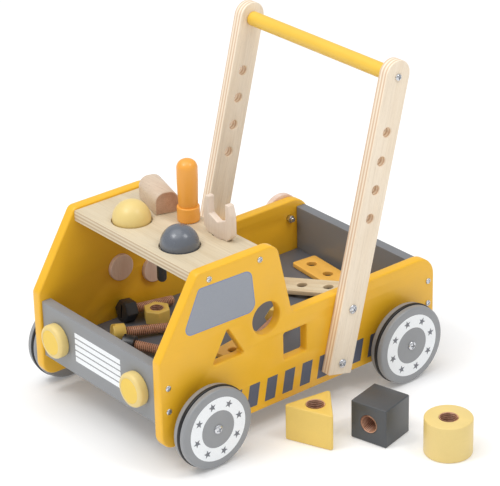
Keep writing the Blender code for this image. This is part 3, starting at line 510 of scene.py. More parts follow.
def slab(outlines: list[Outline], low: float, high: float, axis: Axis, edge: float = 0.0,
         steps: int = 3) -> bpy.types.Mesh:
    """Make a board from an outline and its holes, with its edges rounded all along both faces.

    Args:
        outlines: The outer outline first, then one for each hole.
        low: Start of the thickness.
        high: End of the thickness.
        axis: Direction of the thickness.
        edge: Radius of the rounded edges.
        steps: Facets in a quarter round.

    Returns:
        The board's mesh.
    """
    bm = bmesh.new()
    turned = [oriented(outline, index == 0) for index, outline in enumerate(outlines)]
    quarter = [math.radians(90 * step / steps) for step in range(steps + 1)] if edge else [0.0]
    levels = [(edge * (1 - math.sin(a)), low + edge * (1 - math.cos(a))) for a in quarter]
    levels += [(amount, high + low - depth) for amount, depth in reversed(levels)]
    rims = []
    for outline in turned:
        loops = [[bm.verts.new(spatial(axis, p.x, p.y, depth)) for p in inset(outline, amount)]
                 for amount, depth in levels]
        for lower, upper in zip(loops, loops[1:]):
            for index in range(len(lower)):
                face = bm.faces.new((lower[index - 1], lower[index], upper[index], upper[index - 1]))
                face.smooth = True
        rims.append((loops[0], loops[-1]))
    flat = [[Vector((p.x, p.y, 0.0)) for p in inset(outline, levels[0][0])] for outline in turned]
    for side in (0, 1):
        verts = [vert for rim in rims for vert in rim[side]]
        for triangle in tessellate_polygon(flat):
            bm.faces.new([verts[index] for index in triangle])
    return settle(bm, "slab")


def skin(loops: list[Loop], closed: bool) -> bpy.types.Mesh:
    """Make a mesh through rings of points, closed end to end or capped.

    Args:
        loops: Rings of equal length; a ring of one point is a pole.
        closed: True joins the last ring to the first, False caps the ends.

    Returns:
        The mesh.
    """
    bm = bmesh.new()
    rows = [[bm.verts.new(point) for point in loop] for loop in loops]
    count = max(len(row) for row in rows)
    rows = [row * count if len(row) == 1 else row for row in rows]
    pairs = list(zip(rows, rows[1:])) + ([(rows[-1], rows[0])] if closed else [])
    for lower, upper in pairs:
        for index in range(count):
            corners = (lower[index - 1], lower[index], upper[index], upper[index - 1])
            face = bm.faces.new(list(dict.fromkeys(corners)))
            face.smooth = True
    if not closed:
        for row in (rows[0], rows[-1]):
            if row[0] is not row[1]:
                bm.faces.new(row)
    return settle(bm, "skin")


def turned(profile: list[tuple[float, float]], axis: Axis, sides: int = 64) -> bpy.types.Mesh:
    """Spin (radius, depth) points about an axis; a profile that starts off the axis has a bore."""
    loops = [[spatial(axis, p.x, p.y, depth) for p in ring(radius, sides)] if radius > 0
             else [spatial(axis, 0.0, 0.0, depth)] for radius, depth in profile]
    return skin(loops, profile[0][0] > 0)


def thread_loops(radius: float, low: float, high: float, chamfer: float = 0.0, sides: int = 28,
                 rows: int = 7) -> list[Loop]:
    """Return the rings of a helical thread about Z.

    Args:
        radius: Radius over the crests.
        low: Start along Z.
        high: End along Z.
        chamfer: Taper at the end of the shank.
        sides: Points in a ring.
        rows: Rings in a turn.

    Returns:
        The rings.
    """
    count = max(2, math.ceil((high - low) / THREAD_PITCH * rows))
    loops = []
    for row in range(count + 1):
        z = low + (high - low) * row / count
        shrink = max(0.0, chamfer - (high - z)) if chamfer else 0.0
        loop = []
        for step in range(sides):
            phase = (z / THREAD_PITCH - step / sides) % 1.0
            groove = THREAD_DEPTH * (1 - abs(2 * phase - 1) ** 0.8)
            r, angle = radius - groove - shrink, math.tau * step / sides
            loop.append(Vector((r * math.cos(angle), r * math.sin(angle), z)))
        loops.append(loop)
    return loops


def grooved(mesh: bpy.types.Mesh) -> bpy.types.Mesh:
    """Give the faces in a thread's grooves the mesh's second material slot, which holds painted shade.

    Args:
        mesh: Threaded mesh about Z.

    Returns:
        The same mesh.
    """
    low, high = SHADED_GROOVE_BAND
    for face in mesh.polygons:
        x, y, z = face.center
        phase = (z / THREAD_PITCH - math.atan2(y, x) / math.tau) % 1.0
        # Faces in the groove take the painted shade.
        face.material_index = 1 if low < phase < high else 0
    return mesh


def sleeve(outer: float, low: float, high: float) -> bpy.types.Mesh:
    """Make a bore's threaded wall about Z as a thin sleeve."""
    inner = thread_loops(outer - SLEEVE_WALL, low, high)
    around = ring(outer, len(inner[0]))
    wall = [[Vector((p.x, p.y, z)) for p in around] for z in (high, low)]
    return grooved(skin(inner + wall, True))


def shank(low: float, high: float) -> bpy.types.Mesh:
    """Make a threaded shank about Z, tapered at its far end."""
    return grooved(skin(thread_loops(THREAD_R, low, high, chamfer=SHANK_TAPER), False))


def merged(*meshes: bpy.types.Mesh) -> bpy.types.Mesh:
    """Join meshes into one, with each one's material slots moved on by its place in the order given."""
    bm = bmesh.new()
    for slot, mesh in enumerate(meshes):
        start = len(bm.faces)
        bm.from_mesh(mesh)
        bm.faces.ensure_lookup_table()
        for face in bm.faces[start:]:
            face.material_index += slot
    result = bpy.data.meshes.new("merged")
    bm.to_mesh(result)
    bm.free()
    result.set_sharp_from_angle(angle=SHARP)
    return result


def carved(mesh: bpy.types.Mesh, cutter: bpy.types.Mesh) -> bpy.types.Mesh:
    """Return a mesh with another one cut out of it."""
    body, tool = (bpy.data.objects.new(name, data) for name, data in (("body", mesh), ("tool", cutter)))
    for item in (body, tool):
        bpy.context.scene.collection.objects.link(item)
    boolean = body.modifiers.new("cut", "BOOLEAN")
    boolean.operation = "DIFFERENCE"
    boolean.solver = "EXACT"
    boolean.object = tool
    bpy.context.view_layer.update()
    result = bpy.data.meshes.new_from_object(body.evaluated_get(bpy.context.evaluated_depsgraph_get()))
    for item in (body, tool):
        bpy.data.objects.remove(item)
    result.set_sharp_from_angle(angle=SHARP)
    return result


def placed(mesh: bpy.types.Mesh, where: Vector | tuple = (0.0, 0.0, 0.0),
           turn: tuple[float, float, float] = (0.0, 0.0, 0.0)) -> bpy.types.Mesh:
    """Turn a mesh and move it to its place in the walker's axes."""
    mesh.transform(Matrix.Translation(Vector(where)) @ Euler(turn).to_matrix().to_4x4())
    return mesh


def show(name: str, mesh: bpy.types.Mesh, finishes: list[Finish], body: str) -> bpy.types.Object:
    """Make a finished piece of a mesh in the walker's axes.

    Args:
        name: Name of the piece.
        mesh: Its mesh.
        finishes: One finish for each of the mesh's material slots.
        body: CAD body that it moves with.

    Returns:
        The piece.
    """
    mesh.name = name
    mesh.transform(Matrix.Translation(ORIGIN))
    slots = [face.material_index for face in mesh.polygons]
    mesh.materials.clear()
    for finish in finishes:
        mesh.materials.append(material_of(finish))
    mesh.polygons.foreach_set("material_index", slots)
    piece = bpy.data.objects.new(name, mesh)
    bpy.context.scene.collection.objects.link(piece)
    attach(piece, body)
    LOG.info("%s rides on %s", name, body)
    return piece


def stand_for(node: str, mesh: bpy.types.Mesh, *finishes: Finish) -> bpy.types.Object:
    """Make the finished piece that is shown in place of a CAD node."""
    piece = show(node + "_made", mesh, list(finishes), BODY_OF[node])
    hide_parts(node)
    return piece


# ---------------------------------------------------------------- geometry node trees


class Growth:
    """A Geometry Nodes tree with named inputs, which grows a plain mesh."""

    def __init__(self, name: str) -> None:
        """Start a tree with a geometry input and output."""
        self.tree = bpy.data.node_groups.new(name, "GeometryNodeTree")
        self.tree.interface.new_socket("Geometry", in_out="INPUT", socket_type="NodeSocketGeometry")
        self.tree.interface.new_socket("Geometry", in_out="OUTPUT", socket_type="NodeSocketGeometry")
        self.start = self.add("NodeGroupInput")
        self.end = self.add("NodeGroupOutput")

    def add(self, kind: str, **settings: object) -> bpy.types.Node:
        """Add a node and set its properties."""
        node = self.tree.nodes.new(kind)
        for key, value in settings.items():
            setattr(node, key, value)
        return node

    def takes(self, name: str, kind: str) -> bpy.types.NodeSocket:
        """Add a named input and return its socket inside the tree."""
        self.tree.interface.new_socket(name, in_out="INPUT", socket_type=kind)
        return self.start.outputs[name]

    def link(self, source: bpy.types.NodeSocket, target: bpy.types.NodeSocket) -> None:
        """Link two sockets."""
        self.tree.links.new(source, target)

    def close(self, instances: bpy.types.NodeSocket) -> None:
        """End the tree: instances are made real and take the material."""
        real = self.add("GeometryNodeRealizeInstances")
        dress = self.add("GeometryNodeSetMaterial")
        self.link(instances, real.inputs["Geometry"])
        self.link(real.outputs["Geometry"], dress.inputs["Geometry"])
        self.link(self.takes("Finish", "NodeSocketMaterial"), dress.inputs["Material"])
        self.link(dress.outputs["Geometry"], self.end.inputs["Geometry"])

    def grow(self, base: bpy.types.Mesh, **values: object) -> bpy.types.Mesh:
        """Run the tree on a mesh.

        Args:
            base: Mesh that the tree starts from.
            **values: The named inputs' values.

        Returns:
            The grown mesh, plain and free of modifiers.
        """
        host = bpy.data.objects.new("host", base)
        bpy.context.scene.collection.objects.link(host)
        modifier = host.modifiers.new("growth", "NODES")
        modifier.node_group = self.tree
        sockets = {item.name: item.identifier for item in self.tree.interface.items_tree
                   if item.in_out == "INPUT"}
        for name, value in values.items():
            modifier[sockets[name]] = value
        bpy.context.view_layer.update()
        mesh = bpy.data.meshes.new_from_object(host.evaluated_get(bpy.context.evaluated_depsgraph_get()))
        bpy.data.objects.remove(host)
        mesh.set_sharp_from_angle(angle=SHARP)
        return mesh


def scatter_tree() -> Growth:
    """Make the tree that puts a copy of one item at every point of the base, all turned alike."""
    growth = Growth("item_at_points")
    item = growth.takes("Item", "NodeSocketObject")
    turn = growth.takes("Turn", "NodeSocketVector")
    size = growth.takes("Size", "NodeSocketFloat")
    info = growth.add("GeometryNodeObjectInfo", transform_space="ORIGINAL")
    info.inputs["As Instance"].default_value = True
    growth.link(item, info.inputs["Object"])
    copies = growth.add("GeometryNodeInstanceOnPoints")
    rotation = growth.add("FunctionNodeEulerToRotation")
    growth.link(turn, rotation.inputs["Euler"])
    growth.link(growth.start.outputs["Geometry"], copies.inputs["Points"])
    growth.link(info.outputs["Geometry"], copies.inputs["Instance"])
    growth.link(rotation.outputs["Rotation"], copies.inputs["Rotation"])
    growth.link(size, copies.inputs["Scale"])
    growth.close(copies.outputs["Instances"])
    return growth


def star_ring_tree() -> Growth:
    """Make the tree that sets five-pointed stars round a circle, each pointing outwards."""
    growth = Growth("stars_round_a_ring")
    count = growth.takes("Count", "NodeSocketInt")
    radius = growth.takes("Ring Radius", "NodeSocketFloat")
    size = growth.takes("Star Radius", "NodeSocketFloat")
    notch = growth.takes("Notch Radius", "NodeSocketFloat")
    depth = growth.takes("Thickness", "NodeSocketFloat")
    circle = growth.add("GeometryNodeMeshCircle")
    growth.link(count, circle.inputs["Vertices"])
    growth.link(radius, circle.inputs["Radius"])
    star = growth.add("GeometryNodeCurveStar")
    star.inputs["Points"].default_value = 5
    growth.link(size, star.inputs["Outer Radius"])
    growth.link(notch, star.inputs["Inner Radius"])
    fill = growth.add("GeometryNodeFillCurve")
    growth.link(star.outputs["Curve"], fill.inputs["Curve"])
    thick = growth.add("GeometryNodeExtrudeMesh")
    thick.inputs["Individual"].default_value = False
    growth.link(fill.outputs["Mesh"], thick.inputs["Mesh"])
    growth.link(depth, thick.inputs["Offset Scale"])
    place = growth.add("GeometryNodeInputPosition")
    outward = growth.add("FunctionNodeAlignRotationToVector", axis="X")
    growth.link(place.outputs["Position"], outward.inputs["Vector"])
    copies = growth.add("GeometryNodeInstanceOnPoints")
    growth.link(circle.outputs["Mesh"], copies.inputs["Points"])
    growth.link(thick.outputs["Mesh"], copies.inputs["Instance"])
    growth.link(outward.outputs["Rotation"], copies.inputs["Rotation"])
    growth.close(copies.outputs["Instances"])
    return growth


def row_tree() -> Growth:
    """Make the tree that repeats the base mesh in a straight row."""
    growth = Growth("row_of_bars")
    count = growth.takes("Count", "NodeSocketInt")
    step = growth.takes("Step", "NodeSocketVector")
    line = growth.add("GeometryNodeMeshLine")
    growth.link(count, line.inputs["Count"])
    growth.link(step, line.inputs["Offset"])
    copies = growth.add("GeometryNodeInstanceOnPoints")
    growth.link(line.outputs["Mesh"], copies.inputs["Points"])
    growth.link(growth.start.outputs["Geometry"], copies.inputs["Instance"])
    growth.close(copies.outputs["Instances"])
    return growth


@dataclass
class Hardware:
    """Cross-recess screw heads, made once and set wherever the walker has one."""

    head_r: float = 0.0055
    head_h: float = 0.0026
    recess: float = 0.0021

    def __post_init__(self) -> None:
        """Make the trees and the pattern head."""
        self.scatter = scatter_tree()
        self.head = bpy.data.objects.new("head_pattern", self.head_mesh())

    def head_mesh(self) -> bpy.types.Mesh:
        """Return a domed head whose seat is at zero and whose top faces +X, with a cross recess."""
        r, h = self.head_r, self.head_h
        profile = [(0.0, -0.0006), (r * 0.92, -0.0006), (r * 0.98, 0.0), (r, h * 0.18)]
        profile += [(r * math.cos(a), h * 0.18 + h * 0.80 * math.sin(a))
                    for a in (math.radians(d) for d in (15, 30, 45, 60, 75))]
        profile += [(0.0, h)]
        dome = turned(profile, Axis.X, 40)
        arm, half = r * 0.64, r * 0.17
        cross = [(arm, half), (half, half), (half, arm), (-half, arm), (-half, half), (-arm, half),
                 (-arm, -half), (-half, -half), (-half, -arm), (half, -arm), (half, -half), (arm, -half)]
        tool = slab([[Vector(point) for point in cross]], h - self.recess, h + 0.002, Axis.X)
        return carved(dome, tool)

    def heads(self, places: list[tuple[float, float, float]], hand: Hand, size: float = 1.0,
              spin: float = 0.4) -> bpy.types.Mesh:
        """Return heads at places in the walker's axes, facing out of one side.

        Args:
            places: Middle of each head's seat.
            hand: Side that the heads face.
            size: Scale of the heads.
            spin: Turn of the cross recess about the screw.

        Returns:
            One mesh with every head.
        """
        base = bpy.data.meshes.new("seats")
        base.from_pydata(places, [], [])
        turn = (spin, 0.0, 0.0 if hand is Hand.LEFT else math.pi)
        return self.scatter.grow(base, Item=self.head, Turn=turn, Size=size, Finish=material_of(ZINC))

    def bolt(self, node: str, seat: float, tip: float, radius: float, y: float, z: float, hand: Hand,
             size: float = 1.0, flat: float = 1.0) -> None:
        """Show a CAD bolt with a proper head and its plain shank.

        Args:
            node: CAD node that it stands for.
            seat: Distance of the head's seat from the middle plane.
            tip: Distance of the shank's end.
            radius: Radius of the shank.
            y: Place along the walker.
            z: Height.
            hand: Side that it faces.
            size: Scale of its head.
            flat: Scale of the head's height alone.
        """
        side = hand.value
        head = self.heads([(0.0, 0.0, 0.0)], hand, size, spin=0.3 + 9.0 * abs(y))
        head.transform(Matrix.Scale(flat, 4, AXIS_X))
        placed(head, (side * seat, y, z))
        edge = 0.0004
        rod = turned([(0.0, tip), (radius - edge, tip), (radius, tip + edge), (radius, seat), (0.0, seat)],
                     Axis.X, 24)
        rod.transform(Matrix.Scale(side, 4, AXIS_X))
        if side < 0:
            rod.flip_normals()
        placed(rod, (0.0, y, z))
        stand_for(node, merged(head, rod), ZINC, ZINC)


# ---------------------------------------------------------------- the truck's box


@dataclass
class SidePanels:
    """The two painted side panels with their printed window and hazard stripes."""

    hardware: Hardware
    rows: Growth
    bottom: float = 0.029
    rear: float = 0.1835
    bed_top: float = 0.139
    cab_top: float = 0.2315
    edge: float = 0.0022
    stripe_pitch: float = 0.02635
    stripe_width: float = 0.0152
    stripe_count: int = 9
    stripe_first: float = -0.1290
    triangle_side: float = 0.0460
    triangle_at: tuple[float, float] = (-0.1318, 0.1109)
    square_side: float = 0.0345
    square_at: tuple[float, float] = (-0.0340, 0.0980)
    round_r: float = 0.020
    round_at: tuple[float, float] = (-0.0760, 0.1435)
    hole_corner: float = 0.0025
    window_line: float = 0.0013

    def outline(self) -> Outline:
        """Return a panel's outline in (y, z): cab in front, lower load bed behind."""
        return rounded([(PANEL_FRONT, self.bottom, 0.018), (self.rear, self.bottom, 0.008),
                        (self.rear, self.bed_top, 0.026), (-0.038, self.bed_top, 0.007),
                        (-0.059, self.cab_top, 0.017), (-0.1725, self.cab_top, 0.009),
                        (PANEL_FRONT, self.bed_top, 0.009)])

    def holes(self, hand: Hand) -> list[Outline]:
        """Return one panel's holes: sorter shapes on the left, hub bores on the right, bolts on both."""
        bolts = [(FRONT_AXLE, WHEEL_R), (REAR_AXLE, WHEEL_R), (0.0246, 0.0549), (0.0412, 0.1200)]
        found = [ring(0.0033, 24, place) for place in bolts]
        if hand is Hand.LEFT:
            half, corner, (y, z) = self.triangle_side / 2, self.hole_corner, self.triangle_at
            peak = z + self.triangle_side * math.sin(math.radians(60))
            reach, (square_y, square_z) = self.square_side / 2, self.square_at
            found += [ring(self.round_r, 64, self.round_at),
                      rectangle(square_y - reach, square_z - reach, square_y + reach, square_z + reach,
                                corner),
                      rounded([(y - half, z, corner), (y + half, z, corner), (y, peak, corner)])]
        else:
            found += [ring(0.0063, 32, (-0.1125, 0.1363)), ring(0.0063, 32, (-0.0640, 0.1185)),
                      ring(0.0033, 24, (0.1515, 0.1160))]
        return found

    def build(self) -> None:
        """Build both panels, their prints and their screws."""
        for hand in Hand:
            side = hand.value
            low, high = sorted((side * PANEL_IN, side * BODY_OUT))
            panel = slab([self.outline(), *self.holes(hand)], low, high, Axis.X, self.edge)
            stand_for(f"side_panel_{hand.word}", panel, YELLOW)
            self.prints(hand)
        self.screws()

    def prints(self, hand: Hand) -> None:
        """Print the window and the stripes on one panel's outer face."""
        side = hand.value
        low, high = sorted((side * (BODY_OUT - 2 * INK), side * (BODY_OUT + INK)))
        corners = [(-0.1962, 0.1600, 0.0085), (-0.0915, 0.1588, 0.0105), (-0.0969, 0.2119, 0.0105),
                   (-0.1716, 0.2131, 0.0050)]
        frame_line = rounded(corners)
        pane = inset(oriented(frame_line, True), self.window_line)
        show(f"window_print_{hand.word}", slab([frame_line, pane], low, high, Axis.X), [WINDOW_LINE_INK],
             "truck_box")
        show(f"window_pane_{hand.word}", slab([pane], low, high, Axis.X), [WINDOW_INK], "truck_box")
        first = self.stripe_first
        foot, top, slant = 0.0380, 0.0665, -0.0052
        bar = [Vector(p) for p in ((first + slant, foot), (first + slant + self.stripe_width, foot),
                                   (first + self.stripe_width, top), (first, top))]
        row = self.rows.grow(slab([bar], low, high, Axis.X), Count=self.stripe_count,
                             Step=(0.0, self.stripe_pitch, 0.0), Finish=material_of(STRIPE_INK))
        show(f"stripe_print_{hand.word}", row, [STRIPE_INK], "truck_box")

    def screws(self) -> None:
        """Set the small screws that hold the boards between the panels."""
        places = [(-0.1567, 0.2200), (-0.0844, 0.2200), (-0.2180, 0.1061), (-0.2180, 0.0767),
                  (0.1740, 0.1064), (0.1740, 0.0770)]
        for hand in Hand:
            seats = [(hand.value * (BODY_OUT + 0.0001), y, z) for y, z in places]
            heads = self.hardware.heads(seats, hand, size=0.66)
            show(f"panel_screws_{hand.word}", heads, [ZINC], "truck_box")


@dataclass
class Boards:
    """The bumper, tail board, floor and roof, with the grille print and the lamps."""

    rows: Growth
    face: float = -0.2260
    tail: float = 0.1765
    bottom: float = 0.0577
    top: float = 0.1287
    roof_front: float = -0.1731
    roof_rear: float = -0.0733
    lamp_r: float = 0.0205
    lamp_t: float = 0.0125
    lamp_x: float = 0.0755
    lamp_z: float = 0.0915

    def build(self) -> None:
        """Build the boards, the print and the lamps."""
        half = PANEL_IN - GAP
        inner = self.face + PANEL_T
        for node, low, high in (("front_bumper", self.face, inner),
                                ("tail_board", self.tail - PANEL_T, self.tail)):
            board = slab([rectangle(-half, self.bottom, half, self.top)], low, high, Axis.Y, 0.0012)
            # The tail board takes the grey darkened as painted shade.
            stand_for(node, board, GREY if node == "front_bumper" else TAIL_GREY_SHADED)
        floor = slab([rectangle(-half, inner + GAP, half, self.tail - PANEL_T - GAP)], FLOOR_TOP - 0.008,
                     FLOOR_TOP, Axis.Z, 0.0008)
        # The floor takes grey paint darkened as painted shade.
        stand_for("floor_board", floor, BOARD_GREY_SHADED)
        self.roof(half)
        self.grille()
        for hand in Hand:
            self.lamp(hand)

    def roof(self, half: float) -> None:
        """Build the natural plywood roof with its ball seats and tool holes.

        Args:
            half: Half the width between the panels.
        """
        low = ROOF_TOP - 0.014
        seats = [(-0.0420, -0.1390), (0.0470, -0.1390)]
        tang_x, tang_y = 0.0087, 0.0050
        holes = [ring(0.0218, 64, seat) for seat in seats]
        holes += [ring(0.00645, 40, (MALLET_X, TOOL_ROW_Y)), ring(0.0057, 40, (0.0015, -0.0905)),
                  rectangle(0.0590 - tang_x, -0.0905 - tang_y, 0.0590 + tang_x, -0.0905 + tang_y, 0.0012)]
        board = slab([rectangle(-half, self.roof_front, half, self.roof_rear), *holes], low, ROOF_TOP, Axis.Z,
                     0.0012)
        ledge = ROOF_TOP + 0.0020 - math.sqrt(0.0225 ** 2 - 0.0218 ** 2) - GAP
        for x, y in seats:
            recess = placed(turned([(0.0, ledge), (0.0237, ledge), (0.0237, ROOF_TOP - 0.0006),
                                    (0.0243, ROOF_TOP + 0.0002), (0.0243, ROOF_TOP + 0.01),
                                     (0.0, ROOF_TOP + 0.01)],
                                   Axis.Z), (x, y, 0.0))
            board = carved(board, recess)
        stand_for("roof_board", board, BIRCH_ROOF)

    def grille(self) -> None:
        """Print the pale grille bars on the bumper, the outer ones with rounded ends."""
        bar = rounded([(-0.0435, 0.0760, 0.0008), (0.0435, 0.0760, 0.0008), (0.0435, 0.0821, 0.0008),
                       (-0.0435, 0.0821, 0.0008)])
        mesh = slab([bar], self.face - INK, self.face + 2 * INK, Axis.Y)
        row = self.rows.grow(mesh, Count=5, Step=(0.0, 0.0, 0.00775), Finish=material_of(WHITE_INK))
        show("grille_print", row, [WHITE_INK], "truck_box")

    def lamp(self, hand: Hand) -> None:
        """Build one lamp: a pale turned body with a stronger yellow face."""
        r, t = self.lamp_r, self.lamp_t
        side_round, face_r = 0.0042, 0.0152
        body = [(0.0, 0.0), (r - 0.0012, 0.0), (r - 0.0003, -0.0005), (r, -0.0014)]
        shoulder = arc(r - side_round, t - side_round, side_round, 0, 82, 7)
        body += [(radius, -depth) for radius, depth in shoulder]
        body += [(face_r, -t), (face_r - 0.0002, -t + 0.0004), (0.0, -t + 0.0004)]
        face = [(0.0, -t + 0.0003), (face_r - 0.0003, -t + 0.0003), (face_r - 0.0007, -t + 0.00005),
                (0.0, -t + 0.00005)]
        mesh = merged(turned(body, Axis.Y), turned(face, Axis.Y))
        where = (hand.value * self.lamp_x, self.face - GAP, self.lamp_z)
        stand_for(f"headlight_{hand.word}", placed(mesh, where),
                  CREAM, LAMP_FACE)


# ---------------------------------------------------------------- wheels


@dataclass
class Wheels:
    """Four painted wheels, each with a rubber ring, a printed ring of stars, a spacer and a bolt."""

    hardware: Hardware
    stars: Growth
    thickness: float = 0.019
    inner: float = BODY_OUT + 0.0102
    rim: float = WHEEL_R - 0.0012
    tyre_width: float = 0.0044
    bore: float = 0.0033
    star_r: float = 0.0052
    star_notch: float = 0.0022
    tyre_depth: float = 0.0040
    ring_low: float = 0.0228
    ring_high: float = 0.0389

    def build(self) -> None:
        """Build all four."""
        for axle, y in (("front", FRONT_AXLE), ("rear", REAR_AXLE)):
            for hand in Hand:
                self.wheel(f"{axle}_{hand.word}", hand, y)

    def wheel(self, corner: str, hand: Hand, y: float) -> None:
        """Build one wheel.

        Args:
            corner: Corner of the walker as node names spell it.
            hand: Side it is on.
            y: Place of its axle.
        """
        side, half = hand.value, self.thickness / 2
        middle = (side * (self.inner + half), y, WHEEL_R)
        groove = self.tyre_width / 2 + GAP
        bottom = self.rim - self.tyre_depth
        edge = 0.0026
        lip = 0.0003
        profile = [(self.bore, -half), *arc(self.rim - edge, -half + edge, edge, -90, 0, 5),
                   (self.rim, -groove - lip), (self.rim - lip, -groove), (bottom, -groove), (bottom, groove),
                   (self.rim - lip, groove), (self.rim, groove + lip),
                   *arc(self.rim - edge, half - edge, edge, 0, 90, 5), (self.bore, half)]
        stand_for("wheel_" + corner, placed(turned(profile, Axis.X, 96), middle), WHEEL_GREY)

        width, crown = self.tyre_width / 2, 0.0016
        tyre = [(bottom + GAP, -width), *arc(WHEEL_R - crown, -width + crown, crown, -80, 0, 4),
                *arc(WHEEL_R - crown, width - crown, crown, 0, 80, 4), (bottom + GAP, width)]
        stand_for("tyre_" + corner, placed(turned(tyre, Axis.X, 96), middle), RUBBER)

        face = self.thickness / 2
        low, high = sorted((side * (face - 2 * INK), side * (face + INK)))
        band = slab([ring(self.ring_high, 96), ring(self.ring_low, 72)], low, high, Axis.X)
        body = BODY_OF["wheel_" + corner]
        show("ring_print_" + corner, placed(band, middle), [WHITE_INK], body)
        stars = self.stars.grow(bpy.data.meshes.new("none"), Count=8, **{
            "Ring Radius": (self.ring_low + self.ring_high) / 2, "Star Radius": self.star_r,
            "Notch Radius": self.star_notch, "Thickness": 2.4 * INK, "Finish": material_of(STAR_INK)})
        stars.transform(Matrix.Translation((0.0, 0.0, face)) @ Matrix.Rotation(0.24, 4, "Z"))
        stars.transform(Matrix.Rotation(side * math.pi / 2, 4, "Y"))
        show("star_print_" + corner, placed(stars, middle), [STAR_INK], body)

        start, length = BODY_OUT + GAP, 0.0096
        collar = turned([(self.bore, start), (0.0064, start), (0.0070, start + 0.0006),
                         (0.0070, start + length - 0.0006),
                         (0.0064, start + length), (0.0033, start + length)], Axis.X, 40)
        turn = (0.0, 0.0, 0.0 if hand is Hand.LEFT else math.pi)
        stand_for("wheel_spacer_" + corner, placed(collar, (0.0, y, WHEEL_R), turn), PLASTIC)
        self.hardware.bolt("wheel_bolt_" + corner, self.inner + self.thickness + GAP, PANEL_IN, 0.0030, y,
                           WHEEL_R,
                           hand)


# ---------------------------------------------------------------- push handle


@dataclass
class PushHandle:
    """Two leaning plywood uprights, the painted bar between them and their bolts."""

    hardware: Hardware
    foot_y: float = 0.0246
    foot_z: float = 0.0549
    width: float = 0.0355
    thickness: float = 0.0135
    tail: float = 0.014
    upper_bolt: float = 0.0672
    bar_reach: float = 0.3448
    bar_r: float = 0.0089
    spare_first: float = 0.177
    spare_pitch: float = 0.0343

    def point(self, reach: float) -> tuple[float, float]:
        """Return the (y, z) of a point on an upright's centre line."""
        return (self.foot_y + reach * math.sin(LEAN), self.foot_z + reach * math.cos(LEAN))

    def build(self) -> None:
        """Build the uprights, bolts and bar."""
        half = self.width / 2
        top = self.bar_reach + 0.0020 + half - 0.0002
        start = BODY_OUT + GAP
        for hand in Hand:
            side = hand.value
            low, high = sorted((side * start, side * (start + self.thickness)))
            outline = rounded([(-half, -self.tail, 0.0015), (half, -self.tail, 0.0015),
                               (half, top, half * 0.995),
                               (-half, top, half * 0.995)])
            bores = [ring(0.0060, 40, (0.0, self.spare_first + step * self.spare_pitch)) for step in range(4)]
            bores += [ring(0.0033, 24, (0.0, 0.0)), ring(0.0033, 24, (0.0, self.upper_bolt)),
                      ring(0.0023, 24, (0.0, self.bar_reach))]
            board = slab([outline, *bores], low, high, Axis.X, 0.0010)
            placed(board, (0.0, self.foot_y, self.foot_z), (-LEAN, 0.0, 0.0))
            stand_for(f"upright_{hand.word}", board, BIRCH_UPRIGHT)
            seat = start + self.thickness + GAP
            for level, reach in (("lower", 0.0), ("upper", self.upper_bolt)):
                self.hardware.bolt(f"upright_bolt_{hand.word}_{level}", seat, PANEL_IN, 0.0030,
                                   *self.point(reach),
                                   hand)
            self.hardware.bolt(f"handle_screw_{hand.word}", seat, start - 0.018, 0.0020,
                               *self.point(self.bar_reach),
                               hand, size=0.77, flat=1.28)
        end, bore, depth = start - GAP, 0.0023, 0.0183
        edge = 0.0008
        bar = [(0.0, depth - start), (bore, depth - start), (bore, -end), (self.bar_r - edge, -end),
               (self.bar_r, edge - end), (self.bar_r, end - edge), (self.bar_r - edge, end), (bore, end),
               (bore, start - depth), (0.0, start - depth)]
        where = (0.0, *self.point(self.bar_reach))
        stand_for("handle_bar", placed(turned(bar, Axis.X, 56), where), BAR_YELLOW)


# ---------------------------------------------------------------- turning pieces on the right panel


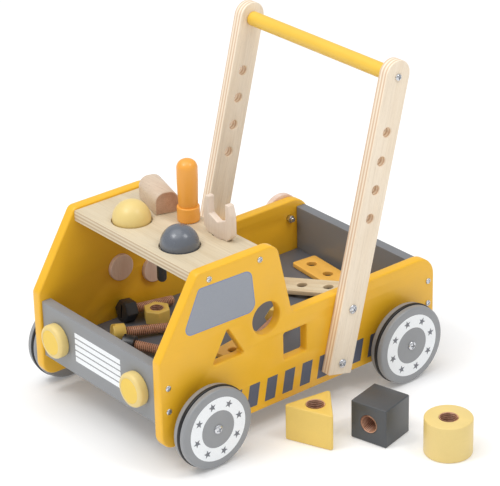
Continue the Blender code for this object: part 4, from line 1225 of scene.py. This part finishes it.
@dataclass
class TurningPieces:
    """Two meshed gears on wooden hubs and a round spinner, on the right panel."""

    hardware: Hardware
    teeth: int = 12
    thickness: float = 0.0080
    front: tuple[float, float] = (-0.1125, 0.1363)
    middle: tuple[float, float] = (-0.0640, 0.1185)
    disc_r: float = 0.0165
    peg_r: float = 0.0060
    spinner: tuple[float, float] = (0.1515, 0.1160)
    spinner_r: float = 0.0270

    def build(self) -> None:
        """Build the gears and the spinner."""
        apart = Vector(self.middle) - Vector(self.front)
        towards = math.atan2(apart.y, apart.x)
        tooth = math.tau / self.teeth
        self.gear("front", self.front, apart.length / 2, towards, YELLOW)
        self.gear("middle", self.middle, apart.length / 2, towards + math.pi + tooth / 2, GREY)
        self.disc()

    def gear(self, name: str, centre: tuple[float, float], pitch_r: float, turn: float,
             finish: Paint) -> None:
        """Build one gear and its hub.

        Args:
            name: Which gear.
            centre: Its (y, z).
            pitch_r: Pitch radius.
            turn: Angle of its first tooth.
            finish: Paint on the gear.
        """
        tooth = math.tau / self.teeth
        root, tip = pitch_r - 0.0032, pitch_r + 0.0024
        shares = ((root, -0.30), (pitch_r, -0.22), (tip, -0.10), (tip, 0.10), (pitch_r, 0.22), (root, 0.30))
        outline = [Vector((radius * math.cos(turn + (index + share) * tooth),
                           radius * math.sin(turn + (index + share) * tooth)))
                   for index in range(self.teeth) for radius, share in shares]
        outer = -(BODY_OUT + GAP)
        wheel = slab([outline, ring(self.peg_r + GAP, 40)], outer - self.thickness, outer, Axis.X, 0.0006)
        stand_for("gear_" + name, placed(wheel, (0.0, *centre)), finish)
        inner, disc_t, edge = -(PANEL_IN - GAP), 0.0050, 0.0012
        end = outer - self.thickness - edge
        hub = [(0.0, inner + disc_t),
               *reversed(arc(self.disc_r - edge, inner + disc_t - edge, edge, 0, 90, 5)),
               (self.disc_r, inner), (self.peg_r, inner), (self.peg_r, end + edge), (self.peg_r - edge, end),
               (0.0, end)]
        # The hub disc takes beech lightened as painted light.
        stand_for("gear_hub_" + name, placed(turned(hub, Axis.X, 72), (0.0, *centre)), BEECH_DISC_LIT)

    def disc(self) -> None:
        """Build the spinner with its bolt and nut."""
        y, z = self.spinner
        inside, edge = -(BODY_OUT + GAP), 0.0015
        outside = inside - self.thickness
        rim = [(0.0033, inside), *reversed(arc(self.spinner_r - edge, inside - edge, edge, 0, 90, 4)),
               *reversed(arc(self.spinner_r - edge, outside + edge, edge, -90, 0, 4)), (0.0033, outside)]
        # The spinner disc takes beech lightened as painted light.
        stand_for("spinner_disc", placed(turned(rim, Axis.X, 96), (0.0, y, z)), BEECH_DISC_LIT)
        self.hardware.bolt("spinner_bolt", GAP - outside, PANEL_IN - 0.008, 0.0030, y, z, Hand.RIGHT,
                           flat=0.45)
        low = -(PANEL_IN - GAP)
        hexagon = [Vector((0.0050 * math.cos(math.radians(60 * k)), 0.0050 * math.sin(math.radians(60 * k))))
                   for k in range(6)]
        nut = slab([hexagon, ring(0.0033, 24)], low, low + 0.0045, Axis.X, 0.0004)
        stand_for("spinner_nut", placed(nut, (0.0, y, z)), ZINC)


# ---------------------------------------------------------------- things on the roof


@dataclass
class RoofRack:
    """The balls, mallet, screwdriver and spanner that stand in the roof's holes."""

    row_y: float = TOOL_ROW_Y
    seat: float = ROOF_TOP + GAP
    ball_r: float = 0.0225

    def build(self) -> None:
        """Build all of them."""
        for node, x, finish in (("ball_yellow", -0.0420, CREAM), ("ball_grey", 0.0470, BALL_SLATE)):
            ball = turned(arc(0.0, 0.0, self.ball_r, -90, 90, 40), Axis.Z, 80)
            stand_for(node, placed(ball, (x, -0.1390, ROOF_TOP + 0.0020)), finish)
        self.mallet()
        self.driver()
        self.wrench()

    def mallet(self) -> None:
        """Build the mallet's rounded head and its handle."""
        length, width, height = 0.055, 0.029, 0.0268
        turn = math.radians(-17)
        half = width / 2
        block = slab([rounded([(-half, 0.0, 0.0015), (half, 0.0, 0.0015), (half, height, 0.012),
                               (-half, height, 0.012)])], -length / 2, length / 2, Axis.X, 0.0011, 3)
        socket = turned([(0.0, -0.01), (0.00605, -0.01), (0.00605, 0.018), (0.0, 0.018)], Axis.Z, 40)
        head = carved(block, socket)
        for face in head.polygons:
            # End faces take the darker end grain, which is partly painted shade.
            face.material_index = 1 if abs(face.normal.x) > 0.97 and face.center.z > 0.0 else 0
        where = (MALLET_X, self.row_y, self.seat)
        stand_for("mallet_head", placed(head, where, (0.0, 0.0, turn)), BEECH, BEECH_END_SHADED)
        top, bottom, r = 0.0177, 0.129 - self.seat, 0.00575
        tip = [(radius, bottom + r + depth) for radius, depth in arc(0.0, 0.0, r, 0, -90, 8)]
        rod = [(0.0, top), (r, top), *tip]
        stand_for("mallet_handle", placed(turned(rod, Axis.Z, 40), where), SLATE)

    def driver(self) -> None:
        """Build the screwdriver's turned handle and its blade."""
        r, collar, collar_h, height, dip = 0.0122, 0.0132, 0.018, 0.0752, 0.0014
        bore, socket, edge = 0.0053, 0.025, 0.0105
        profile = [(0.0, socket), (bore, socket), (bore, 0.0), *arc(collar - dip, dip, dip, -90, 0, 4),
                   *arc(collar - dip, collar_h - dip, dip, 0, 70, 4), (r - dip, collar_h),
                   (r - dip, collar_h + 0.0006),
                   (r - 0.0009, collar_h + 0.0018), (r - 0.0006, collar_h + 0.009), (r, collar_h + 0.030),
                   *arc(r - edge, height - edge, edge, 0, 88, 12), (0.0, height)]
        where = (0.0015, self.row_y, self.seat)
        stand_for("driver_handle", placed(turned(profile, Axis.Z, 64), where), ORANGE)
        top, bottom, thin, reach = socket - GAP, 0.165 - self.seat, 0.0022, 0.012
        rod = turned([(0.0, top), (0.0050, top), (0.0050, bottom), (0.0, bottom)], Axis.Z, 40)
        for side in (-1, 1):
            wedge = [Vector(p) for p in ((side * thin, bottom - 0.01), (side * 0.01, bottom - 0.01),
                                         (side * 0.01, bottom + reach), (side * 0.0050, bottom + reach))]
            rod = carved(rod, slab([wedge], -0.01, 0.01, Axis.X))
        stand_for("driver_shaft", placed(rod, where), BEECH)

    def wrench(self) -> None:
        """Build the open-jaw spanner on its tang."""
        half, jaw, foot, tang, height, depth = 0.0246, 0.0145, 0.0170, 0.0080, 0.0450, 0.0210
        bottom, thick = 0.165 - self.seat, 0.0086
        valley = height - depth
        right = [(tang, bottom, 0.004), (tang, 0.0, 0.0), (foot, 0.0, 0.001), (half, 0.0080, 0.005),
                 (half, height * 0.72, 0.009), (half * 0.84, height, 0.0025), (jaw, height, 0.0015),
                 (jaw, valley, 0.0)]
        left = [(-x, z, r) for x, z, r in reversed(right)]
        outline = rounded(right + [(0.0, valley - 0.0060, 0.002)] + left)
        board = slab([outline], -thick / 2, thick / 2, Axis.Y, 0.0010)
        stand_for("wrench", placed(board, (0.0590, self.row_y, self.seat)), BIRCH)


# ---------------------------------------------------------------- loose pieces


@dataclass
class Blocks:
    """The three loose shape blocks with threaded holes."""

    scale: float = 1.48
    edge: float = 0.0015
    bore: float = THREAD_R * 1.48 + GAP
    cube_at: tuple[float, float, float] = (0.2140, 0.0121, 0.0)
    cube_turn: float = math.radians(14)
    cylinder_at: tuple[float, float, float] = (0.2926, 0.0441, 0.0)
    triangle_at: tuple[float, float, float] = (0.1714, -0.0485, 0.0)
    triangle_turn: float = math.radians(-8)

    def build(self) -> None:
        """Build the cube, the round block and the triangular one."""
        side = (0.0345 - 0.0020) * self.scale
        square = rectangle(-side / 2, 0.0, side / 2, side, self.edge)
        hole = ring(self.bore + 0.0018, 64, (0.0, side / 2))
        cube = slab([square, hole], -side / 2, side / 2, Axis.Y, self.edge)
        lining = self.lining(-side / 2, side / 2)
        placed(lining, (0.0, 0.0, side / 2), (math.pi / 2, 0.0, 0.0))
        stand_for("block_cube", placed(merged(cube, lining), self.cube_at, (0.0, 0.0, self.cube_turn)),
                  SLATE, BEECH_THREAD, BEECH_GROOVE_SHADE)

        height = 0.0300 * self.scale
        radius = (0.040 - 0.0020) / 2 * self.scale
        bore = ring(self.bore + 0.0018, 64)
        drum = slab([ring(radius, 96), bore], 0.0, height, Axis.Z, self.edge)
        stand_for("block_cylinder", placed(merged(drum, self.lining(0.0, height)), self.cylinder_at), CREAM,
                  BEECH_THREAD, BEECH_GROOVE_SHADE)

        reach = (0.0460 - 0.0026) * self.scale / math.sqrt(3)
        corners = [(point.x, point.y, 0.003) for point in ring(reach, 3)]
        wedge = slab([rounded(corners), bore], 0.0, height, Axis.Z, self.edge)
        stand_for("block_triangle", placed(merged(wedge, self.lining(0.0, height)), self.triangle_at,
                                           (0.0, 0.0, self.triangle_turn)), WARM, BEECH_THREAD, BEECH_GROOVE_SHADE)

    def lining(self, low: float, high: float) -> bpy.types.Mesh:
        """Return a block's threaded wall of bare wood."""
        return sleeve(self.bore + 0.0017, low + 0.0002, high - 0.0002)


@dataclass
class TraySet:
    """The bolts, screws, nut and planks that lie in the truck."""

    shank_length: float = 0.0580
    plank_w: float = 0.0350
    plank_t: float = 0.0060
    plank_pitch: float = 0.0340
    seat: float = FLOOR_TOP + GAP

    def build(self) -> None:
        """Build everything in the tray."""
        self.hex_bolt("hex_bolt_black", BLACK, -0.860 * PANEL_IN, -0.1240, 87)
        self.hex_bolt("hex_bolt_yellow", WARM, 0.341 * PANEL_IN, 0.0153, 294, True)
        self.slot_screw("slot_screw_yellow", WARM, -0.559 * PANEL_IN, -0.1620, 69)
        self.slot_screw("slot_screw_dark", BLACK, -0.307 * PANEL_IN, -0.1660, 33)
        self.nut("hex_nut_yellow", -0.640 * PANEL_IN, -0.0890)
        self.plank("plank_yellow", 4, (-0.475 * PANEL_IN, 0.1392, self.seat), 0.0, -5, False)
        tilt = math.asin((self.plank_t + GAP) / 0.0790)
        rise = self.seat + self.plank_w / 2 * math.sin(tilt)
        self.plank("plank_natural", 4, (-0.355 * PANEL_IN, 0.0706, rise), tilt, 30, True)
        self.plank("plank_short", 2, (0.535 * PANEL_IN, -0.0750, self.seat), 0.0, 100, False)

    def laid(self, head_r: float, head_t: float, x: float, y: float, yaw: float,
             level: bool = False) -> Matrix:
        """Return the place of a headed bolt that lies on the floor along its own X.

        Args:
            head_r: Radius of its head.
            head_t: Thickness of its head.
            x: Place of the head's outer face.
            y: The same, along the walker.
            yaw: Direction of the shank in degrees.
            level: True where the shank is held level.

        Returns:
            The matrix that lays it down.
        """
        pitch = 0.0 if level else math.atan((head_r - THREAD_R) / self.shank_length)
        height = self.seat + head_t * math.sin(pitch) + head_r * math.cos(pitch)
        turn = Euler((0.0, pitch, math.radians(yaw))).to_matrix().to_4x4()
        return Matrix.Translation((x, y, height)) @ turn

    def finished(self, node: str, head: bpy.types.Mesh, head_t: float, lie: Matrix, finish: Paint) -> None:
        """Join a head and its bare threaded shank, and lay them down.

        Args:
            node: CAD node that they stand for.
            head: The head, along X from zero.
            head_t: Its thickness.
            lie: Place of the bolt.
            finish: Paint on the head.
        """
        rod = shank(head_t - 0.001, head_t + self.shank_length)
        rod.transform(Matrix.Rotation(math.pi / 2, 4, "Y"))
        bolt = merged(head, rod)
        bolt.transform(lie)
        stand_for(node, bolt, finish, BEECH_THREAD, BEECH_GROOVE_SHADE)

    def hex_bolt(self, node: str, finish: Paint, x: float, y: float, yaw: float, level: bool = False) -> None:
        """Build a hexagon-head bolt with a shallow slot across its head."""
        across, thick = 0.0125, 0.0160
        reach = across / math.cos(math.pi / 6)
        corners = [(point.x, point.y, 0.0016) for point in ring(reach, 6)]
        head = slab([rounded(corners)], 0.0, thick, Axis.X, 0.0014, 3)
        groove = slab([rectangle(-0.0013, -0.0085, 0.0013, 0.0085, 0.0006)], -0.005, 0.0028, Axis.X)
        self.finished(node, carved(head, groove), thick, self.laid(across, thick, x, y, yaw, level), finish)

    def slot_screw(self, node: str, finish: Paint, x: float, y: float, yaw: float) -> None:
        """Build a round-head screw with a slot right across it."""
        radius, thick, edge = 0.0105, 0.0150, 0.0014
        head = turned([(0.0, 0.0), *arc(radius - edge, edge, edge, -90, 0, 4),
                       *arc(radius - edge / 2, thick - edge / 2, edge / 2, 0, 90, 3), (0.0, thick)],
                      Axis.X, 56)
        groove = slab([rectangle(-0.0014, -0.02, 0.0014, 0.02)], -0.005, 0.0035, Axis.X)
        self.finished(node, carved(head, groove), thick, self.laid(radius, thick, x, y, yaw), finish)

    def nut(self, node: str, x: float, y: float) -> None:
        """Build the large hexagon nut with its bare threaded bore."""
        reach, height, bore = 0.0145 / math.cos(math.pi / 6), 0.0170, 0.0063
        corners = [(point.x, point.y, 0.0014) for point in ring(reach, 6)]
        body = slab([rounded(corners), ring(bore + 0.0016, 48)], 0.0, height, Axis.Z, 0.0014)
        lining = sleeve(bore + 0.0015, 0.0002, height - 0.0002)
        stand_for(node, placed(merged(body, lining), (x, y, self.seat), (0.0, 0.0, math.radians(30))), WARM,
                  BEECH_THREAD, BEECH_GROOVE_SHADE)

    def plank(self, node: str, holes: int, where: tuple[float, float, float], tilt: float, yaw: float,
              bare: bool) -> None:
        """Build a plank with a row of bolt holes.

        Args:
            node: CAD node that it stands for.
            holes: How many holes.
            where: Place under its first hole.
            tilt: How far its far end is raised.
            yaw: Direction in degrees.
            bare: True for bare birch, False for yellow paint.
        """
        half, last = self.plank_w / 2, (holes - 1) * self.plank_pitch
        outline = rectangle(-half, -half, last + half, half, 0.003)
        bores = [ring(0.0062, 40, (step * self.plank_pitch, 0.0)) for step in range(holes)]
        board = slab([outline, *bores], 0.0, self.plank_t, Axis.Z, 0.0010)
        direction = Vector((math.cos(math.radians(yaw)), math.sin(math.radians(yaw)), 0.0))
        bare_birch = Wood(node + "_birch", screen(228, 212, 180), screen(206, 182, 146), direction)
        finish = bare_birch if bare else PLANK
        stand_for(node, placed(board, where, (0.0, -tilt, math.radians(yaw))), finish)


# ---------------------------------------------------------------- studio


@dataclass
class Studio:
    """Pale floor, soft light and the camera."""

    azimuth: float = 50.979
    elevation: float = 25.887
    roll: float = -1.259
    distance: float = 2.7521
    aim: tuple[float, float, float] = (0.0, 0.0, 0.16943)
    lens: float = 168.70
    sky: float = 0.55
    glow: float = 0.15

    def build(self) -> None:
        """Build the stage."""
        self.camera()
        self.floor()
        self.lights()
        settings = bpy.context.scene.view_settings
        settings.view_transform = "Standard"
        settings.look = "None"

    def camera(self) -> None:
        """Set the camera at the viewing angle."""
        az, el, roll = (math.radians(angle) for angle in (self.azimuth, self.elevation, self.roll))
        back = Vector((math.sin(az) * math.cos(el), -math.cos(az) * math.cos(el), math.sin(el)))
        right = Vector((math.cos(az), math.sin(az), 0.0))
        up = back.cross(right)
        tilted = right * math.cos(roll) + up * math.sin(roll)
        upward = up * math.cos(roll) - right * math.sin(roll)
        eye = ORIGIN + Vector(self.aim) + back * self.distance
        data = bpy.data.cameras.new("camera")
        data.lens = self.lens
        data.sensor_width = 36.0
        data.clip_end = 50.0
        camera = bpy.data.objects.new("camera", data)
        camera.matrix_world = Matrix.Translation(eye) @ Matrix((tilted, upward, back)).transposed().to_4x4()
        bpy.context.scene.collection.objects.link(camera)
        bpy.context.scene.camera = camera

    def floor(self) -> None:
        """Lay a large pale floor."""
        half = 12.0
        mesh = bpy.data.meshes.new("floor")
        mesh.from_pydata([(-half, -half, 0.0), (half, -half, 0.0), (half, half, 0.0), (-half, half, 0.0)], [],
                         [(0, 1, 2, 3)])
        tree = Tree("pale_floor", 0.9)
        tree.shader.inputs["Emission Color"].default_value = (1.0, 1.0, 1.0, 1.0)
        tree.shader.inputs["Emission Strength"].default_value = self.glow
        cloud = tree.noise(tree.place, 3.0, 2.0)
        tree.drive("Base Color", tree.mix(cloud, (0.86, 0.86, 0.86), (0.88, 0.88, 0.88)))
        tree.shader.inputs["Specular IOR Level"].default_value = 0.1
        mesh.materials.append(tree.material)
        floor = bpy.data.objects.new("floor", mesh)
        floor.location.z = -0.0004
        bpy.context.scene.collection.objects.link(floor)

    def lights(self) -> None:
        """Light the set with an even sky, a large overhead soft box and two smaller ones."""
        world = bpy.data.worlds.new("sky")
        world.use_nodes = True
        shader = world.node_tree.nodes["Background"]
        shader.inputs["Color"].default_value = (1.0, 1.0, 1.0, 1.0)
        shader.inputs["Strength"].default_value = self.sky
        bpy.context.scene.world = world
        sun = bpy.data.lights.new("high_soft_light", "SUN")
        sun.energy = 1.25
        sun.angle = math.radians(60)
        item = bpy.data.objects.new("high_soft_light", sun)
        item.rotation_euler = Vector((-0.10, -0.28, 1.0)).to_track_quat("Z", "Y").to_euler()
        bpy.context.scene.collection.objects.link(item)
        self.box_light("right", (1.18, 0.46, 2.04), 0.55, 9.0)
        self.box_light("left", (-0.20, -1.26, 2.04), 0.55, 9.0)

    def box_light(self, name: str, where: tuple[float, float, float], size: float, power: float) -> None:
        """Add one square soft box that looks at the walker.

        Args:
            name: Name of the light.
            where: Its place in the walker's axes.
            size: Side of the square.
            power: Its power in watts.
        """
        data = bpy.data.lights.new(name, "AREA")
        data.size = size
        data.energy = power
        light = bpy.data.objects.new(name, data)
        eye = ORIGIN + Vector(where)
        light.location = eye
        light.rotation_euler = (ORIGIN + Vector((0.0, 0.0, 0.12)) - eye).to_track_quat("-Z", "Y").to_euler()
        bpy.context.scene.collection.objects.link(light)


def main() -> None:
    """Build every sub-assembly in order."""
    logging.basicConfig(level=logging.INFO, format="%(message)s")
    hardware = Hardware()
    rows = row_tree()
    for assembly in (Studio(), SidePanels(hardware, rows), Boards(rows), Wheels(hardware, star_ring_tree()),
                     PushHandle(hardware), TurningPieces(hardware), RoofRack(), Blocks(), TraySet()):
        LOG.info("building %s", type(assembly).__name__)
        assembly.build()
    bpy.data.objects.remove(hardware.head)


if __name__ == "__main__":
    main()
